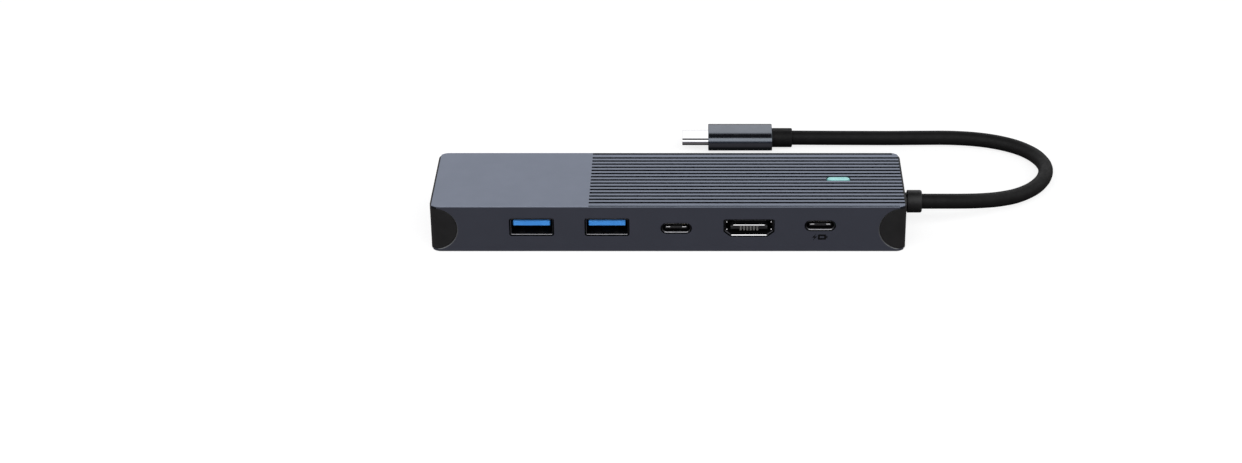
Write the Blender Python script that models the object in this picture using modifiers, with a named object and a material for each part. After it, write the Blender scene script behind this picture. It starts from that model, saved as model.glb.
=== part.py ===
"""Laptop docking station: an aluminium sleeve with a grooved top, five ports in its front face,
two moulded end caps, a board with its connectors and chips, and a captive lead with a USB-C plug.

The origin is the centre of the underside. +X points to the end where the lead comes out,
+Y points to the back and +Z points up. The ports face -Y.
"""
import math

import bmesh
import bpy
from mathutils import Matrix, Vector

MM = 0.001
GAP = 0.3 * MM                      # clearance kept between touching pieces
WELD = 0.001 * MM                   # vertices closer than this are one vertex
TURN_WELD = 0.01 * MM               # the same where a turned shape closes on itself
SMOOTH_ANGLE = math.radians(30)     # edges that bend less than this look smooth
BREAK_ANGLE = math.radians(60)      # edges that bend more than this are broken

# Sleeve and end caps
WIDTH = 144.0 * MM                  # over both end caps
DEPTH = 36.8 * MM
HEIGHT = 15.2 * MM
WALL = 1.2 * MM
END_RADIUS = 3.0 * MM               # plan radius of the four upright corners
EDGE_BREAK = 0.2 * MM
EDGE_STEPS = 2                      # segments across each broken edge
CAP_FLANGE = 0.5 * MM               # plate of each end cap that covers the end of the sleeve
CAP_FLANGE_MARGIN = 0.3 * MM        # between the flange and the top and underside
SLEEVE_END = WIDTH / 2 - CAP_FLANGE - GAP
TUNNEL_RADIUS = 0.6 * MM
NOTCH_RADIUS = 6.8 * MM             # D-shaped notch in the front and back walls at each end
NOTCH_CENTRE_X = 70.6 * MM
NOTCH_INNER_Y = DEPTH / 2 - 1.4 * MM
CAP_RING_INNER_X = 62.0 * MM        # where the hidden ring of an end cap stops
CAP_WALL = 1.6 * MM
CAP_END_WALL = 2.0 * MM
CAP_STEP = 0.1 * MM                 # the ring is a little lower than the lobes beside it
LEAD_HOLE_REACH = 5.0 * MM          # how far the hole for the lead runs each way through a cap

# Grooves in the top
GROOVE_COUNT = 15                   # evenly spaced; two more run beside the long edges
GROOVE_PITCH = 2.17 * MM
GROOVE_MIDDLE_Y = -0.4 * MM
GROOVE_WIDTH = 0.98 * MM
GROOVE_DEPTH = 0.55 * MM
BACK_GROOVE_Y = 17.6 * MM
EDGE_GROOVE_Y = -17.88 * MM         # the narrow groove beside the front edge
EDGE_GROOVE_WIDTH = 0.5 * MM
GROOVE_START_X = -WIDTH / 6         # the left third of the top is smooth

# Status light
LIGHT_PLACE = (52.1 * MM, 0.45 * MM)
LIGHT_SIZE = (7.4 * MM, 3.0 * MM)
LIGHT_STEPS = 4                     # segments in a quarter turn of its round ends
LIGHT_FLANGE = 0.6 * MM             # how far the pipe's flange reaches beyond its slot
LIGHT_FLANGE_THICKNESS = 1.0 * MM
LIGHT_STEM_RADIUS = 1.2 * MM
LIGHT_STEM_OVERLAP = 0.5 * MM       # how far the stem runs into the flange
STATUS_LED = (1.6 * MM, 1.6 * MM, 0.7 * MM)

# Ports: (x, z) of each centre, and the outer size of each metal shell
USB_A_CENTRES = ((-41.3 * MM, 8.25 * MM), (-18.5 * MM, 8.25 * MM))
USB_C_CENTRES = ((2.4 * MM, 7.84 * MM), (45.9 * MM, 8.75 * MM))
HDMI_CENTRE = (24.4 * MM, 7.95 * MM)
USB_A_SHELL = (13.0 * MM, 5.55 * MM)
USB_C_SHELL = (8.94 * MM, 3.2 * MM)
HDMI_SHELL = (14.9 * MM, 5.4 * MM)
HDMI_CHAMFER = (2.1 * MM, 1.65 * MM)
PORT_CLEARANCE = 0.25 * MM          # between a shell and the edge of its opening
MOUTH_Y = -DEPTH / 2 + 0.2 * MM     # the shells stop just behind the front face
SHELL_WALL = 0.3 * MM
USB_A_CORNER = 0.3 * MM             # corner radius of a USB-A shell's bore
USB_A_OPENING_CORNER = 0.6 * MM
USB_A_LENGTH = 13.5 * MM
USB_C_LENGTH = 7.3 * MM
HDMI_LENGTH = 12.0 * MM
USB_A_TONGUE = (11.1 * MM, 1.84 * MM, 0.72 * MM)    # width, thickness, space above it
USB_C_TONGUE = (6.7 * MM, 0.7 * MM)
HDMI_TONGUE = (11.2 * MM, 1.3 * MM)
TONGUE_SETBACK = 0.7 * MM
INSULATOR_BASE = 2.4 * MM
RISER_HALF_WIDTH = 3.6 * MM         # of the spacer under a USB-C socket
RISER_SETBACK = 2.6 * MM            # from a USB-C shell's mouth to the front of its spacer

# Board and the carrier under it
BOARD_X = (-60.0 * MM, 58.0 * MM)
BOARD_Y = (-16.0 * MM, 16.0 * MM)
BOARD_TOP = 4.7 * MM
BOARD_THICKNESS = 1.2 * MM
BOARD_CORNER = 1.0 * MM
CARRIER_FLOOR = 0.8 * MM
CARRIER_WALL = 0.6 * MM
CARRIER_WALL_TOP = 4.4 * MM
RIB_POSITIONS = (-48.0 * MM, -26.0 * MM, 18.0 * MM, 44.0 * MM)
RIB_WIDTH = 1.2 * MM
PAD_CENTRE = (-4.0 * MM, 6.0 * MM)
PAD_SIZE = 15.4 * MM

# Components on top of the board: name, size and centre in millimetres, and finish
COMPONENTS = (
    ("hub_controller_chip", (9.0, 9.0, 0.9), (-4.0, 6.0), "chip_resin"),
    ("video_converter_chip", (8.0, 8.0, 0.9), (27.0, 4.0), "chip_resin"),
    ("power_delivery_chip", (5.0, 5.0, 0.8), (44.0, -3.0), "chip_resin"),
    ("flash_memory_chip", (5.0, 4.0, 1.5), (-22.0, 8.0), "chip_resin"),
    ("clock_crystal", (3.2, 2.5, 0.8), (12.0, 6.0), "tinned_steel"),
    ("power_inductor_1", (6.0, 6.0, 3.0), (37.0, 9.5), "ferrite"),
    ("power_inductor_2", (6.0, 6.0, 3.0), (45.0, 9.5), "ferrite"),
)
CAPACITOR_CENTRES = ((-44.0 * MM, 7.0 * MM), (-36.0 * MM, 7.0 * MM))
CAPACITOR_RADIUS = 2.5 * MM
CAPACITOR_HEIGHT = 5.4 * MM
SHIELD_HALF = 7.0 * MM              # the can over the hub controller
SHIELD_HEIGHT = 2.2 * MM
SHIELD_SKIN = 0.25 * MM

# Lead, seen from the dock to its plug
LEAD_Z = HEIGHT / 2
LEAD_RADIUS = 2.36 * MM
LEAD_SPACING = 2.0 * 2 * LEAD_RADIUS
RELIEF_RADIUS = 3.55 * MM
RELIEF_COLLAR_GAP = 1.4 * MM        # between the end cap and the wide part of the bush
RELIEF_END_X = 77.9 * MM
RELIEF_NECK = 3.05 * MM
RELIEF_FLANGE = 4.1 * MM
RELIEF_FLANGE_WIDTH = 2.3 * MM
RELIEF_ROUNDING = 0.4 * MM
CLAMP_X = (63.2 * MM, 66.2 * MM)
CLAMP_WALL = 0.6 * MM
LEAD_ROUTE = [                      # millimetres; the lead drops to the table and turns back
    (62.0, 0.00, 7.60), (70.0, 0.00, 7.60), (78.2, 0.00, 7.60), (84.8, 0.42, 7.39),
    (91.2, 2.08, 6.56), (97.4, 5.08, 5.21), (103.6, 9.15, 3.70), (109.75, 13.80, 2.68),
    (115.35, 19.40, 2.42), (119.2, 26.40, 2.42), (120.45, 34.10, 2.42), (118.45, 41.60, 2.42),
    (113.85, 47.70, 2.42), (107.35, 51.96, 2.42), (99.85, 54.46, 2.42), (91.5, 55.50, 2.42),
    (82.0, 55.50, 2.42), (72.0, 55.36, 2.42), (62.0, 55.20, 2.52), (52.0, 54.80, 2.75),
    (44.0, 54.45, 2.97), (34.6, 54.50, 3.00),
]
WIRE_RADIUS = 0.4 * MM
WIRES = (                           # name, finish and distance from the lead's axis
    ("lead_wire_power", "red_wire", -1.05 * MM),
    ("lead_wire_ground", "black_wire", -0.35 * MM),
    ("lead_wire_data", "green_wire", 0.35 * MM),
    ("lead_wire_video", "white_wire", 1.05 * MM),
)
WIRE_ROUTE = (                      # distance back from the lead, spread and share of the drop
    (1.0 * MM, 1.4, 0.1), (2.5 * MM, 2.2, 0.58), (4.0 * MM, 3.0, 0.87), (5.2 * MM, 3.2, 1.0),
    (6.4 * MM, 3.2, 1.0),
)

# Plug: its axis runs along -X
PLUG_Y = 54.5 * MM
PLUG_Z = 3.0 * MM
BOOT_X = (33.4 * MM, 39.7 * MM)
BOOT_SIZE = (6.8 * MM, 5.9 * MM)
BOOT_BORE_FLAT = 0.1 * MM           # its bore is this much wider than it is high
PLUG_SHELL_X = (12.2 * MM, 33.1 * MM)
PLUG_SHELL_SIZE = (12.3 * MM, 5.8 * MM)
PLUG_SHELL_FLAT = 4.0 * MM          # width of its flat top and underside; its sides are elliptical
PLUG_SHELL_STEPS = 12               # segments in each elliptical side
PLUG_SHELL_WALL = 0.7 * MM
NOSE_X = (3.7 * MM, 16.7 * MM)
NOSE_SIZE = (8.25 * MM, 2.4 * MM)
NOSE_WALL = 0.22 * MM
PLUG_BOARD_X = (17.3 * MM, 27.5 * MM)
PLUG_BOARD_SIZE = (6.0 * MM, 0.8 * MM)
INSERT_SLACK = 0.2 * MM
INSERT_X = (4.4 * MM, 14.4 * MM)
INSERT_SLOT = (6.6 * MM, 0.8 * MM)
INSERT_SLOT_END = 12.0 * MM

ARC_STEPS = 6                       # segments in a quarter turn
TURN_STEPS = 32                     # segments in a full turn
BEYOND = 2.0 * MM                   # how far a cutter runs past what it cuts

# Colour, roughness and metallic value of each material
FINISHES = {
    "grey_anodised_aluminium": ((0.20, 0.22, 0.27), 0.38, 0.9),
    "black_plastic": ((0.018, 0.018, 0.02), 0.55, 0.0),
    "black_rubber": ((0.012, 0.012, 0.013), 0.6, 0.0),
    "steel": ((0.56, 0.56, 0.58), 0.28, 1.0),
    "blackened_steel": ((0.03, 0.03, 0.035), 0.35, 0.8),
    "blue_plastic": ((0.05, 0.22, 0.6), 0.4, 0.0),
    "carrier_plastic": ((0.05, 0.05, 0.055), 0.6, 0.0),
    "board_laminate": ((0.01, 0.09, 0.05), 0.45, 0.0),
    "chip_resin": ((0.012, 0.012, 0.014), 0.5, 0.0),
    "ferrite": ((0.08, 0.08, 0.085), 0.7, 0.1),
    "tinned_steel": ((0.6, 0.6, 0.6), 0.35, 1.0),
    "thermal_silicone": ((0.35, 0.42, 0.5), 0.8, 0.0),
    "diffuse_plastic": ((0.6, 0.95, 0.92), 0.35, 0.0),
    "led_resin": ((0.9, 0.9, 0.6), 0.3, 0.0),
    "brass": ((0.6, 0.42, 0.16), 0.35, 1.0),
    "red_wire": ((0.5, 0.02, 0.02), 0.5, 0.0),
    "black_wire": ((0.02, 0.02, 0.02), 0.5, 0.0),
    "green_wire": ((0.02, 0.3, 0.05), 0.5, 0.0),
    "white_wire": ((0.7, 0.7, 0.7), 0.5, 0.0),
}

# Local axes of a flat outline that is pushed along X, Y or Z
TURNS = {
    "X": Matrix(((0, 0, 1, 0), (1, 0, 0, 0), (0, 1, 0, 0), (0, 0, 0, 1))),
    "Y": Matrix(((1, 0, 0, 0), (0, 0, -1, 0), (0, 1, 0, 0), (0, 0, 0, 1))),
    "Z": Matrix.Identity(4),
}
AXES = {"X": Vector((1, 0, 0)), "Y": Vector((0, 1, 0)), "Z": Vector((0, 0, 1))}


# ---------------------------------------------------------------- scene and objects

def clear_scene():
    for obj in list(bpy.data.objects):
        bpy.data.objects.remove(obj, do_unlink=True)


def new_collection(name):
    collection = bpy.data.collections.new(name)
    bpy.context.scene.collection.children.link(collection)
    return collection


def material(name):
    found = bpy.data.materials.get(name)
    if found:
        return found
    colour, roughness, metallic = FINISHES[name]
    made = bpy.data.materials.new(name)
    made.use_nodes = True
    shader = made.node_tree.nodes["Principled BSDF"]
    shader.inputs["Base Color"].default_value = (*colour, 1.0)
    shader.inputs["Roughness"].default_value = roughness
    shader.inputs["Metallic"].default_value = metallic
    made.diffuse_color = (*colour, 1.0)
    return made


def add_object(name, data, matrix=None):
    """Puts new data in the scene as a construction shape, hidden until it is kept as a part."""
    obj = bpy.data.objects.new(name, data)
    cutters.objects.link(obj)
    obj.hide_render = True
    obj.display_type = "WIRE"
    if matrix:
        obj.matrix_world = matrix
    return obj


def keep(obj, finish, smooth=True):
    """Makes a construction shape one of the parts, with its material."""
    cutters.objects.unlink(obj)
    parts.objects.link(obj)
    obj.hide_render = False
    obj.display_type = "TEXTURED"
    obj.data.materials.clear()
    obj.data.materials.append(material(finish))
    if smooth and obj.type == "MESH":
        obj.data.shade_smooth()
        obj.data.set_sharp_from_angle(angle=SMOOTH_ANGLE)
    return obj


def boolean(target, tool, operation):
    step = target.modifiers.new(tool.name, "BOOLEAN")
    step.operation = operation
    step.object = tool
    step.solver = "EXACT"


def cut(target, *tools):
    for tool in tools:
        boolean(target, tool, "DIFFERENCE")


def join(target, *tools):
    for tool in tools:
        boolean(target, tool, "UNION")


# ---------------------------------------------------------------- outlines and solids

def arc(centre, radius, start, end, steps=ARC_STEPS):
    """Points along an arc; the angles are in degrees, anticlockwise from the first axis."""
    points = []
    for step in range(steps + 1):
        angle = math.radians(start + (end - start) * step / steps)
        points.append((centre[0] + radius * math.cos(angle), centre[1] + radius * math.sin(angle)))
    return points


def rounded_rectangle(size, radius, centre=(0.0, 0.0), steps=ARC_STEPS):
    across = size[0] / 2 - radius
    up = size[1] / 2 - radius
    points = []
    for quarter, (side, level) in enumerate(((1, 1), (-1, 1), (-1, -1), (1, -1))):
        corner = (centre[0] + side * across, centre[1] + level * up)
        points += arc(corner, radius, 90 * quarter, 90 * quarter + 90, steps)
    return points


def stadium(size, centre=(0.0, 0.0), steps=ARC_STEPS):
    """A slot shape with round ends, longer along its first axis."""
    radius = size[1] / 2
    reach = size[0] / 2 - radius
    right = arc((centre[0] + reach, centre[1]), radius, -90, 90, 2 * steps)
    left = arc((centre[0] - reach, centre[1]), radius, 90, 270, 2 * steps)
    return right + left


def hdmi_outline(size, centre, inset=0.0):
    """A rectangle whose two lower corners are cut off at a slant, moved in by the inset."""
    across = size[0] / 2 - inset
    up = size[1] / 2 - inset
    slant_across = HDMI_CHAMFER[0] - inset / 2
    slant_up = HDMI_CHAMFER[1] - inset / 2
    shape = (
        (across, up), (-across, up), (-across, slant_up - up),
        (slant_across - across, -up), (across - slant_across, -up), (across, slant_up - up),
    )
    return [(centre[0] + u, centre[1] + v) for u, v in shape]


def block(name, x, y, z):
    """A box from its lowest to its highest coordinate along each axis."""
    size = (x[1] - x[0], y[1] - y[0], z[1] - z[0])
    shape = bmesh.new()
    bmesh.ops.create_cube(shape, size=1.0, matrix=Matrix.Diagonal((*size, 1.0)))
    mesh = bpy.data.meshes.new(name)
    shape.to_mesh(mesh)
    shape.free()
    middle = Vector(((x[0] + x[1]) / 2, (y[0] + y[1]) / 2, (z[0] + z[1]) / 2))
    return add_object(name, mesh, Matrix.Translation(middle))


def prism(name, outline, axis, start, end):
    """A flat outline pushed along an axis. Its coordinates are (y, z) along X, (x, z) along Y
    and (x, y) along Z."""
    curve = bpy.data.curves.new(name + "_outline", "CURVE")
    curve.dimensions = "2D"
    curve.fill_mode = "BOTH"
    curve.extrude = (end - start) / 2
    spline = curve.splines.new("POLY")
    spline.points.add(len(outline) - 1)
    for point, (u, v) in zip(spline.points, outline):
        point.co = (u, v, 0.0, 1.0)
    spline.use_cyclic_u = True
    place = Matrix.Translation(AXES[axis] * (start + end) / 2) @ TURNS[axis]
    guide = add_object(name + "_outline", curve, place)
    bpy.context.view_layer.update()
    evaluated = guide.evaluated_get(bpy.context.evaluated_depsgraph_get())
    mesh = bpy.data.meshes.new_from_object(evaluated)
    mesh.name = name
    shape = bmesh.new()
    shape.from_mesh(mesh)
    bmesh.ops.remove_doubles(shape, verts=shape.verts, dist=WELD)
    bmesh.ops.recalc_face_normals(shape, faces=shape.faces)
    shape.to_mesh(mesh)
    shape.free()
    bpy.data.objects.remove(guide, do_unlink=True)
    return add_object(name, mesh, place)


def turned(name, profile, centre, axis="X"):
    """A closed profile of (radius, distance along the axis) points turned about that axis.
    The profile runs down its outer side and back up its inner side."""
    mesh = bpy.data.meshes.new(name)
    points = [(radius, 0.0, along) for radius, along in profile]
    count = len(points)
    mesh.from_pydata(points, [(i, (i + 1) % count) for i in range(count)], [])
    place = Matrix.Translation(Vector(centre))
    if axis == "X":
        place = place @ Matrix.Rotation(math.radians(90), 4, "Y")
    obj = add_object(name, mesh, place)
    screw = obj.modifiers.new("turn", "SCREW")
    screw.angle = math.radians(360)
    screw.steps = TURN_STEPS
    screw.render_steps = TURN_STEPS
    screw.use_merge_vertices = True
    screw.merge_threshold = TURN_WELD
    return obj


def cylinder(name, radius, bottom, height, centre):
    """An upright cylinder standing at a level above the underside."""
    shape = bmesh.new()
    bmesh.ops.create_cone(shape, cap_ends=True, segments=TURN_STEPS, radius1=radius,
                          radius2=radius, depth=height)
    mesh = bpy.data.meshes.new(name)
    shape.to_mesh(mesh)
    shape.free()
    place = Matrix.Translation(Vector((centre[0], centre[1], bottom + height / 2)))
    return add_object(name, mesh, place)


def tube(name, points, radius, resolution=2):
    """A round cord along a line of points."""
    curve = bpy.data.curves.new(name, "CURVE")
    curve.dimensions = "3D"
    curve.bevel_depth = radius
    curve.bevel_resolution = resolution
    curve.use_fill_caps = True
    spline = curve.splines.new("POLY")
    spline.points.add(len(points) - 1)
    for point, place in zip(spline.points, points):
        point.co = (*place, 1.0)
    return add_object(name, curve)


def smooth_path(route, spacing):
    """Points a set distance apart on the smooth curve through a route (Catmull-Rom)."""
    ends = [route[0] * 2 - route[1]] + route + [route[-1] * 2 - route[-2]]
    fine = []
    substeps = 16
    for before, here, there, after in zip(ends, ends[1:], ends[2:], ends[3:]):
        for step in range(substeps):
            t = step / substeps
            fine.append(0.5 * (
                2 * here
                + (there - before) * t
                + (2 * before - 5 * here + 4 * there - after) * t ** 2
                + (3 * here - before - 3 * there + after) * t ** 3
            ))
    fine.append(route[-1])
    length = sum((b - a).length for a, b in zip(fine, fine[1:]))
    count = round(length / spacing)
    chosen = [fine[0]]
    travelled = 0.0
    for here, there in zip(fine, fine[1:]):
        travelled += (there - here).length
        if travelled >= len(chosen) * length / count and len(chosen) < count:
            chosen.append(there)
    chosen.append(fine[-1])
    return chosen


# ---------------------------------------------------------------- sleeve

def span(side, near, far):
    """A range along X from near the middle to nearer one end, in rising order."""
    return tuple(sorted((side * near, side * far)))


def notch_outline(side, radius):
    """The D shape at one end: a half circle that runs on straight to past the end."""
    past = WIDTH / 2 + BEYOND
    curve = arc((NOTCH_CENTRE_X, HEIGHT / 2), radius, 90, 270, 4 * ARC_STEPS)
    shape = curve + [(past, HEIGHT / 2 - radius), (past, HEIGHT / 2 + radius)]
    return [(side * x, z) for x, z in shape]


def groove_cutter(name, y, width):
    return block(name, (GROOVE_START_X, WIDTH / 2 + BEYOND), (y - width / 2, y + width / 2),
                 (HEIGHT - GROOVE_DEPTH, HEIGHT + BEYOND))


def even_grooves_cutter():
    first = GROOVE_MIDDLE_Y - (GROOVE_COUNT - 1) / 2 * GROOVE_PITCH
    cutter = groove_cutter("even_grooves_cutter", first, GROOVE_WIDTH)
    repeat = cutter.modifiers.new("repeat", "ARRAY")
    repeat.count = GROOVE_COUNT
    repeat.use_relative_offset = False
    repeat.use_constant_offset = True
    repeat.constant_offset_displace = (0.0, GROOVE_PITCH, 0.0)
    return cutter


def opening_cutters():
    """One cutter for each port, through the front wall only."""
    front = (-DEPTH / 2 - BEYOND, -DEPTH / 2 + WALL + GAP)
    grow = 2 * PORT_CLEARANCE
    made = []
    for number, centre in enumerate(USB_A_CENTRES, start=1):
        size = (USB_A_SHELL[0] + grow, USB_A_SHELL[1] + grow)
        outline = rounded_rectangle(size, USB_A_OPENING_CORNER, centre, 3)
        made.append(prism(f"usb_a_opening_{number}", outline, "Y", *front))
    for number, centre in enumerate(USB_C_CENTRES, start=1):
        size = (USB_C_SHELL[0] + grow, USB_C_SHELL[1] + grow)
        made.append(prism(f"usb_c_opening_{number}", stadium(size, centre), "Y", *front))
    outline = hdmi_outline(HDMI_SHELL, HDMI_CENTRE, -PORT_CLEARANCE)
    made.append(prism("hdmi_opening", outline, "Y", *front))
    return made


def make_housing():
    housing = prism("housing", rounded_rectangle((WIDTH, DEPTH), END_RADIUS), "Z", 0.0, HEIGHT)
    edges = housing.modifiers.new("edge_break", "BEVEL")
    edges.width = EDGE_BREAK
    edges.segments = EDGE_STEPS
    edges.limit_method = "ANGLE"
    edges.angle_limit = BREAK_ANGLE
    inner = (DEPTH - 2 * WALL, HEIGHT - 2 * WALL)
    tunnel = prism("tunnel_cutter", rounded_rectangle(inner, TUNNEL_RADIUS, (0.0, HEIGHT / 2), 2),
                   "X", -WIDTH / 2 - BEYOND, WIDTH / 2 + BEYOND)
    cut(housing, tunnel)
    across = (-DEPTH / 2 - BEYOND, DEPTH / 2 + BEYOND)
    for side, end in ((-1, "left"), (1, "right")):
        cut(housing, block(end + "_end_cutter", span(side, SLEEVE_END, WIDTH / 2 + BEYOND), across,
                           (-BEYOND, HEIGHT + BEYOND)))
        for face, wall in ((-1, "front"), (1, "back")):
            reach = sorted((face * NOTCH_INNER_Y, face * (DEPTH / 2 + BEYOND)))
            cut(housing, prism(f"{end}_{wall}_notch", notch_outline(side, NOTCH_RADIUS), "Y", *reach))
    cut(housing, *opening_cutters())
    cut(housing, even_grooves_cutter(),
        groove_cutter("back_groove_cutter", BACK_GROOVE_Y, GROOVE_WIDTH),
        groove_cutter("edge_groove_cutter", EDGE_GROOVE_Y, EDGE_GROOVE_WIDTH))
    slot = prism("light_slot", stadium(LIGHT_SIZE, LIGHT_PLACE, LIGHT_STEPS), "Z",
                 HEIGHT - WALL - BEYOND, HEIGHT + BEYOND)
    cut(housing, slot)
    keep(housing, "grey_anodised_aluminium")


def make_end_cap(name, side):
    """A D-shaped plug: lobes flush with the front and back, a flange over the sleeve's end, and
    a hollow ring inside the sleeve."""
    flange_inner = WIDTH / 2 - CAP_FLANGE
    outline = rounded_rectangle((WIDTH, DEPTH), END_RADIUS)
    cap = prism(name, outline, "Z", CAP_FLANGE_MARGIN, HEIGHT - CAP_FLANGE_MARGIN)
    waste = block(name + "_waste", span(side, -WIDTH / 2 - BEYOND, flange_inner),
                  (-DEPTH / 2 - BEYOND, DEPTH / 2 + BEYOND), (-BEYOND, HEIGHT + BEYOND))
    cut(waste, prism(name + "_lobes", notch_outline(side, NOTCH_RADIUS - GAP), "Y",
                     -DEPTH / 2 - 2 * BEYOND, DEPTH / 2 + 2 * BEYOND))
    cut(cap, waste)
    inside = (WALL + GAP, HEIGHT - WALL - GAP)
    lobe_inner = NOTCH_INNER_Y + GAP
    across = span(side, CAP_RING_INNER_X - BEYOND, flange_inner - CAP_STEP)
    lobes = (-lobe_inner, lobe_inner)
    cut(cap, block(name + "_above", across, lobes, (inside[1], HEIGHT + BEYOND)))
    cut(cap, block(name + "_below", across, lobes, (-BEYOND, inside[0])))
    ring_y = DEPTH / 2 - WALL - GAP
    ring = span(side, CAP_RING_INNER_X, NOTCH_CENTRE_X)
    ring_z = (inside[0] + CAP_STEP, inside[1] - CAP_STEP)
    join(cap, block(name + "_ring", ring, (-ring_y, ring_y), ring_z))
    hollow_y = ring_y - CAP_WALL
    hollow = span(side, CAP_RING_INNER_X - BEYOND, WIDTH / 2 - CAP_END_WALL)
    cut(cap, block(name + "_hollow", hollow, (-hollow_y, hollow_y),
                   (ring_z[0] + CAP_WALL, ring_z[1] - CAP_WALL)))
    if side > 0:
        bore = RELIEF_NECK + GAP
        profile = [(bore, LEAD_HOLE_REACH), (bore, -LEAD_HOLE_REACH),
                   (0.0, -LEAD_HOLE_REACH), (0.0, LEAD_HOLE_REACH)]
        cut(cap, turned("lead_hole", profile, (WIDTH / 2, 0.0, LEAD_Z)))
    keep(cap, "black_plastic")


# ---------------------------------------------------------------- ports

def make_port(kind, number, outline_of, size, centre, length, finish):
    """A drawn metal shell, open at the front, with its moulded insulator and contact tongue.
    Returns the insulator's base so that the caller can add the tongue."""
    label = f"_{number}" if number else ""
    back = MOUTH_Y + length
    shell = prism(f"{kind}_shell{label}", outline_of(size, centre, 0.0), "Y", MOUTH_Y, back)
    bore = prism(f"{kind}_bore{label}", outline_of(size, centre, SHELL_WALL), "Y",
                 MOUTH_Y - BEYOND, back + BEYOND)
    cut(shell, bore)
    keep(shell, finish)
    inset = SHELL_WALL + GAP
    return prism(f"{kind}_insulator{label}", outline_of(size, centre, inset), "Y",
                 back - INSULATOR_BASE, back - GAP)


def usb_a_outline(size, centre, inset):
    reduced = (size[0] - 2 * inset, size[1] - 2 * inset)
    return rounded_rectangle(reduced, USB_A_CORNER, centre, 2)


def usb_c_outline(size, centre, inset):
    reduced = (size[0] - 2 * inset, size[1] - 2 * inset)
    return stadium(reduced, centre)


def tongue(name, width, thickness, centre, length):
    """The contact tongue, from inside the insulator's base to a little behind the mouth."""
    return block(
        name,
        (centre[0] - width / 2, centre[0] + width / 2),
        (MOUTH_Y + TONGUE_SETBACK, MOUTH_Y + length - INSULATOR_BASE / 2),
        (centre[1] - thickness / 2, centre[1] + thickness / 2),
    )


def make_usb_a_ports():
    width, thickness, above = USB_A_TONGUE
    for number, centre in enumerate(USB_A_CENTRES, start=1):
        insulator = make_port("usb_a", number, usb_a_outline, USB_A_SHELL, centre,
                              USB_A_LENGTH, "steel")
        level = centre[1] + USB_A_SHELL[1] / 2 - SHELL_WALL - above - thickness / 2
        join(insulator, tongue(f"usb_a_tongue_{number}", width, thickness, (centre[0], level),
                               USB_A_LENGTH))
        keep(insulator, "blue_plastic")


def make_usb_c_ports():
    width, thickness = USB_C_TONGUE
    for number, centre in enumerate(USB_C_CENTRES, start=1):
        insulator = make_port("usb_c", number, usb_c_outline, USB_C_SHELL, centre,
                              USB_C_LENGTH, "blackened_steel")
        join(insulator, tongue(f"usb_c_tongue_{number}", width, thickness, centre, USB_C_LENGTH))
        keep(insulator, "black_plastic")
        bottom = centre[1] - USB_C_SHELL[1] / 2 - GAP
        riser = block(f"usb_c_riser_{number}",
                      (centre[0] - RISER_HALF_WIDTH, centre[0] + RISER_HALF_WIDTH),
                      (MOUTH_Y + RISER_SETBACK, MOUTH_Y + USB_C_LENGTH), (BOARD_TOP + GAP, bottom))
        keep(riser, "carrier_plastic", smooth=False)


def make_hdmi_port():
    width, thickness = HDMI_TONGUE
    insulator = make_port("hdmi", None, hdmi_outline, HDMI_SHELL, HDMI_CENTRE, HDMI_LENGTH,
                          "blackened_steel")
    join(insulator, tongue("hdmi_tongue", width, thickness, HDMI_CENTRE, HDMI_LENGTH))
    keep(insulator, "black_plastic")


# ---------------------------------------------------------------- inside the sleeve

def make_board_and_carrier():
    bottom = BOARD_TOP - BOARD_THICKNESS
    size = (BOARD_X[1] - BOARD_X[0], BOARD_Y[1] - BOARD_Y[0])
    centre = (sum(BOARD_X) / 2, sum(BOARD_Y) / 2)
    board = prism("main_board", rounded_rectangle(size, BOARD_CORNER, centre, 3), "Z",
                  bottom, BOARD_TOP)
    keep(board, "board_laminate")
    floor = (WALL + GAP, WALL + GAP + CARRIER_FLOOR)
    outer = DEPTH / 2 - WALL - GAP
    carrier = block("board_carrier", BOARD_X, (-outer, outer), floor)
    for face, label in ((-1, "front"), (1, "back")):
        wall = tuple(sorted((face * outer, face * (outer - CARRIER_WALL))))
        join(carrier, block(f"carrier_{label}_wall", BOARD_X, wall, (floor[0], CARRIER_WALL_TOP)))
    for number, x in enumerate(RIB_POSITIONS, start=1):
        rib = (x - RIB_WIDTH / 2, x + RIB_WIDTH / 2)
        join(carrier, block(f"carrier_rib_{number}", rib, (-outer + GAP, outer - GAP),
                            (floor[0] + GAP, bottom - GAP)))
    window = PAD_SIZE / 2 + GAP
    cut(carrier, block("carrier_window", (PAD_CENTRE[0] - window, PAD_CENTRE[0] + window),
                       (PAD_CENTRE[1] - window, PAD_CENTRE[1] + window),
                       (0.0, bottom)))
    keep(carrier, "carrier_plastic", smooth=False)
    pad = PAD_SIZE / 2
    keep(block("thermal_pad", (PAD_CENTRE[0] - pad, PAD_CENTRE[0] + pad),
               (PAD_CENTRE[1] - pad, PAD_CENTRE[1] + pad), (floor[0], bottom - GAP)),
         "thermal_silicone", smooth=False)


def on_board(name, size, centre, finish):
    """A square-cornered component soldered to the top of the board."""
    foot = BOARD_TOP + GAP
    chip = block(name, (centre[0] - size[0] / 2, centre[0] + size[0] / 2),
                 (centre[1] - size[1] / 2, centre[1] + size[1] / 2), (foot, foot + size[2]))
    return keep(chip, finish, smooth=False)


def make_components():
    for name, size, centre, finish in COMPONENTS:
        on_board(name, [length * MM for length in size], [place * MM for place in centre], finish)
    for number, centre in enumerate(CAPACITOR_CENTRES, start=1):
        capacitor = cylinder(f"bulk_capacitor_{number}", CAPACITOR_RADIUS, BOARD_TOP + GAP,
                             CAPACITOR_HEIGHT, centre)
        keep(capacitor, "tinned_steel")


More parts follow.
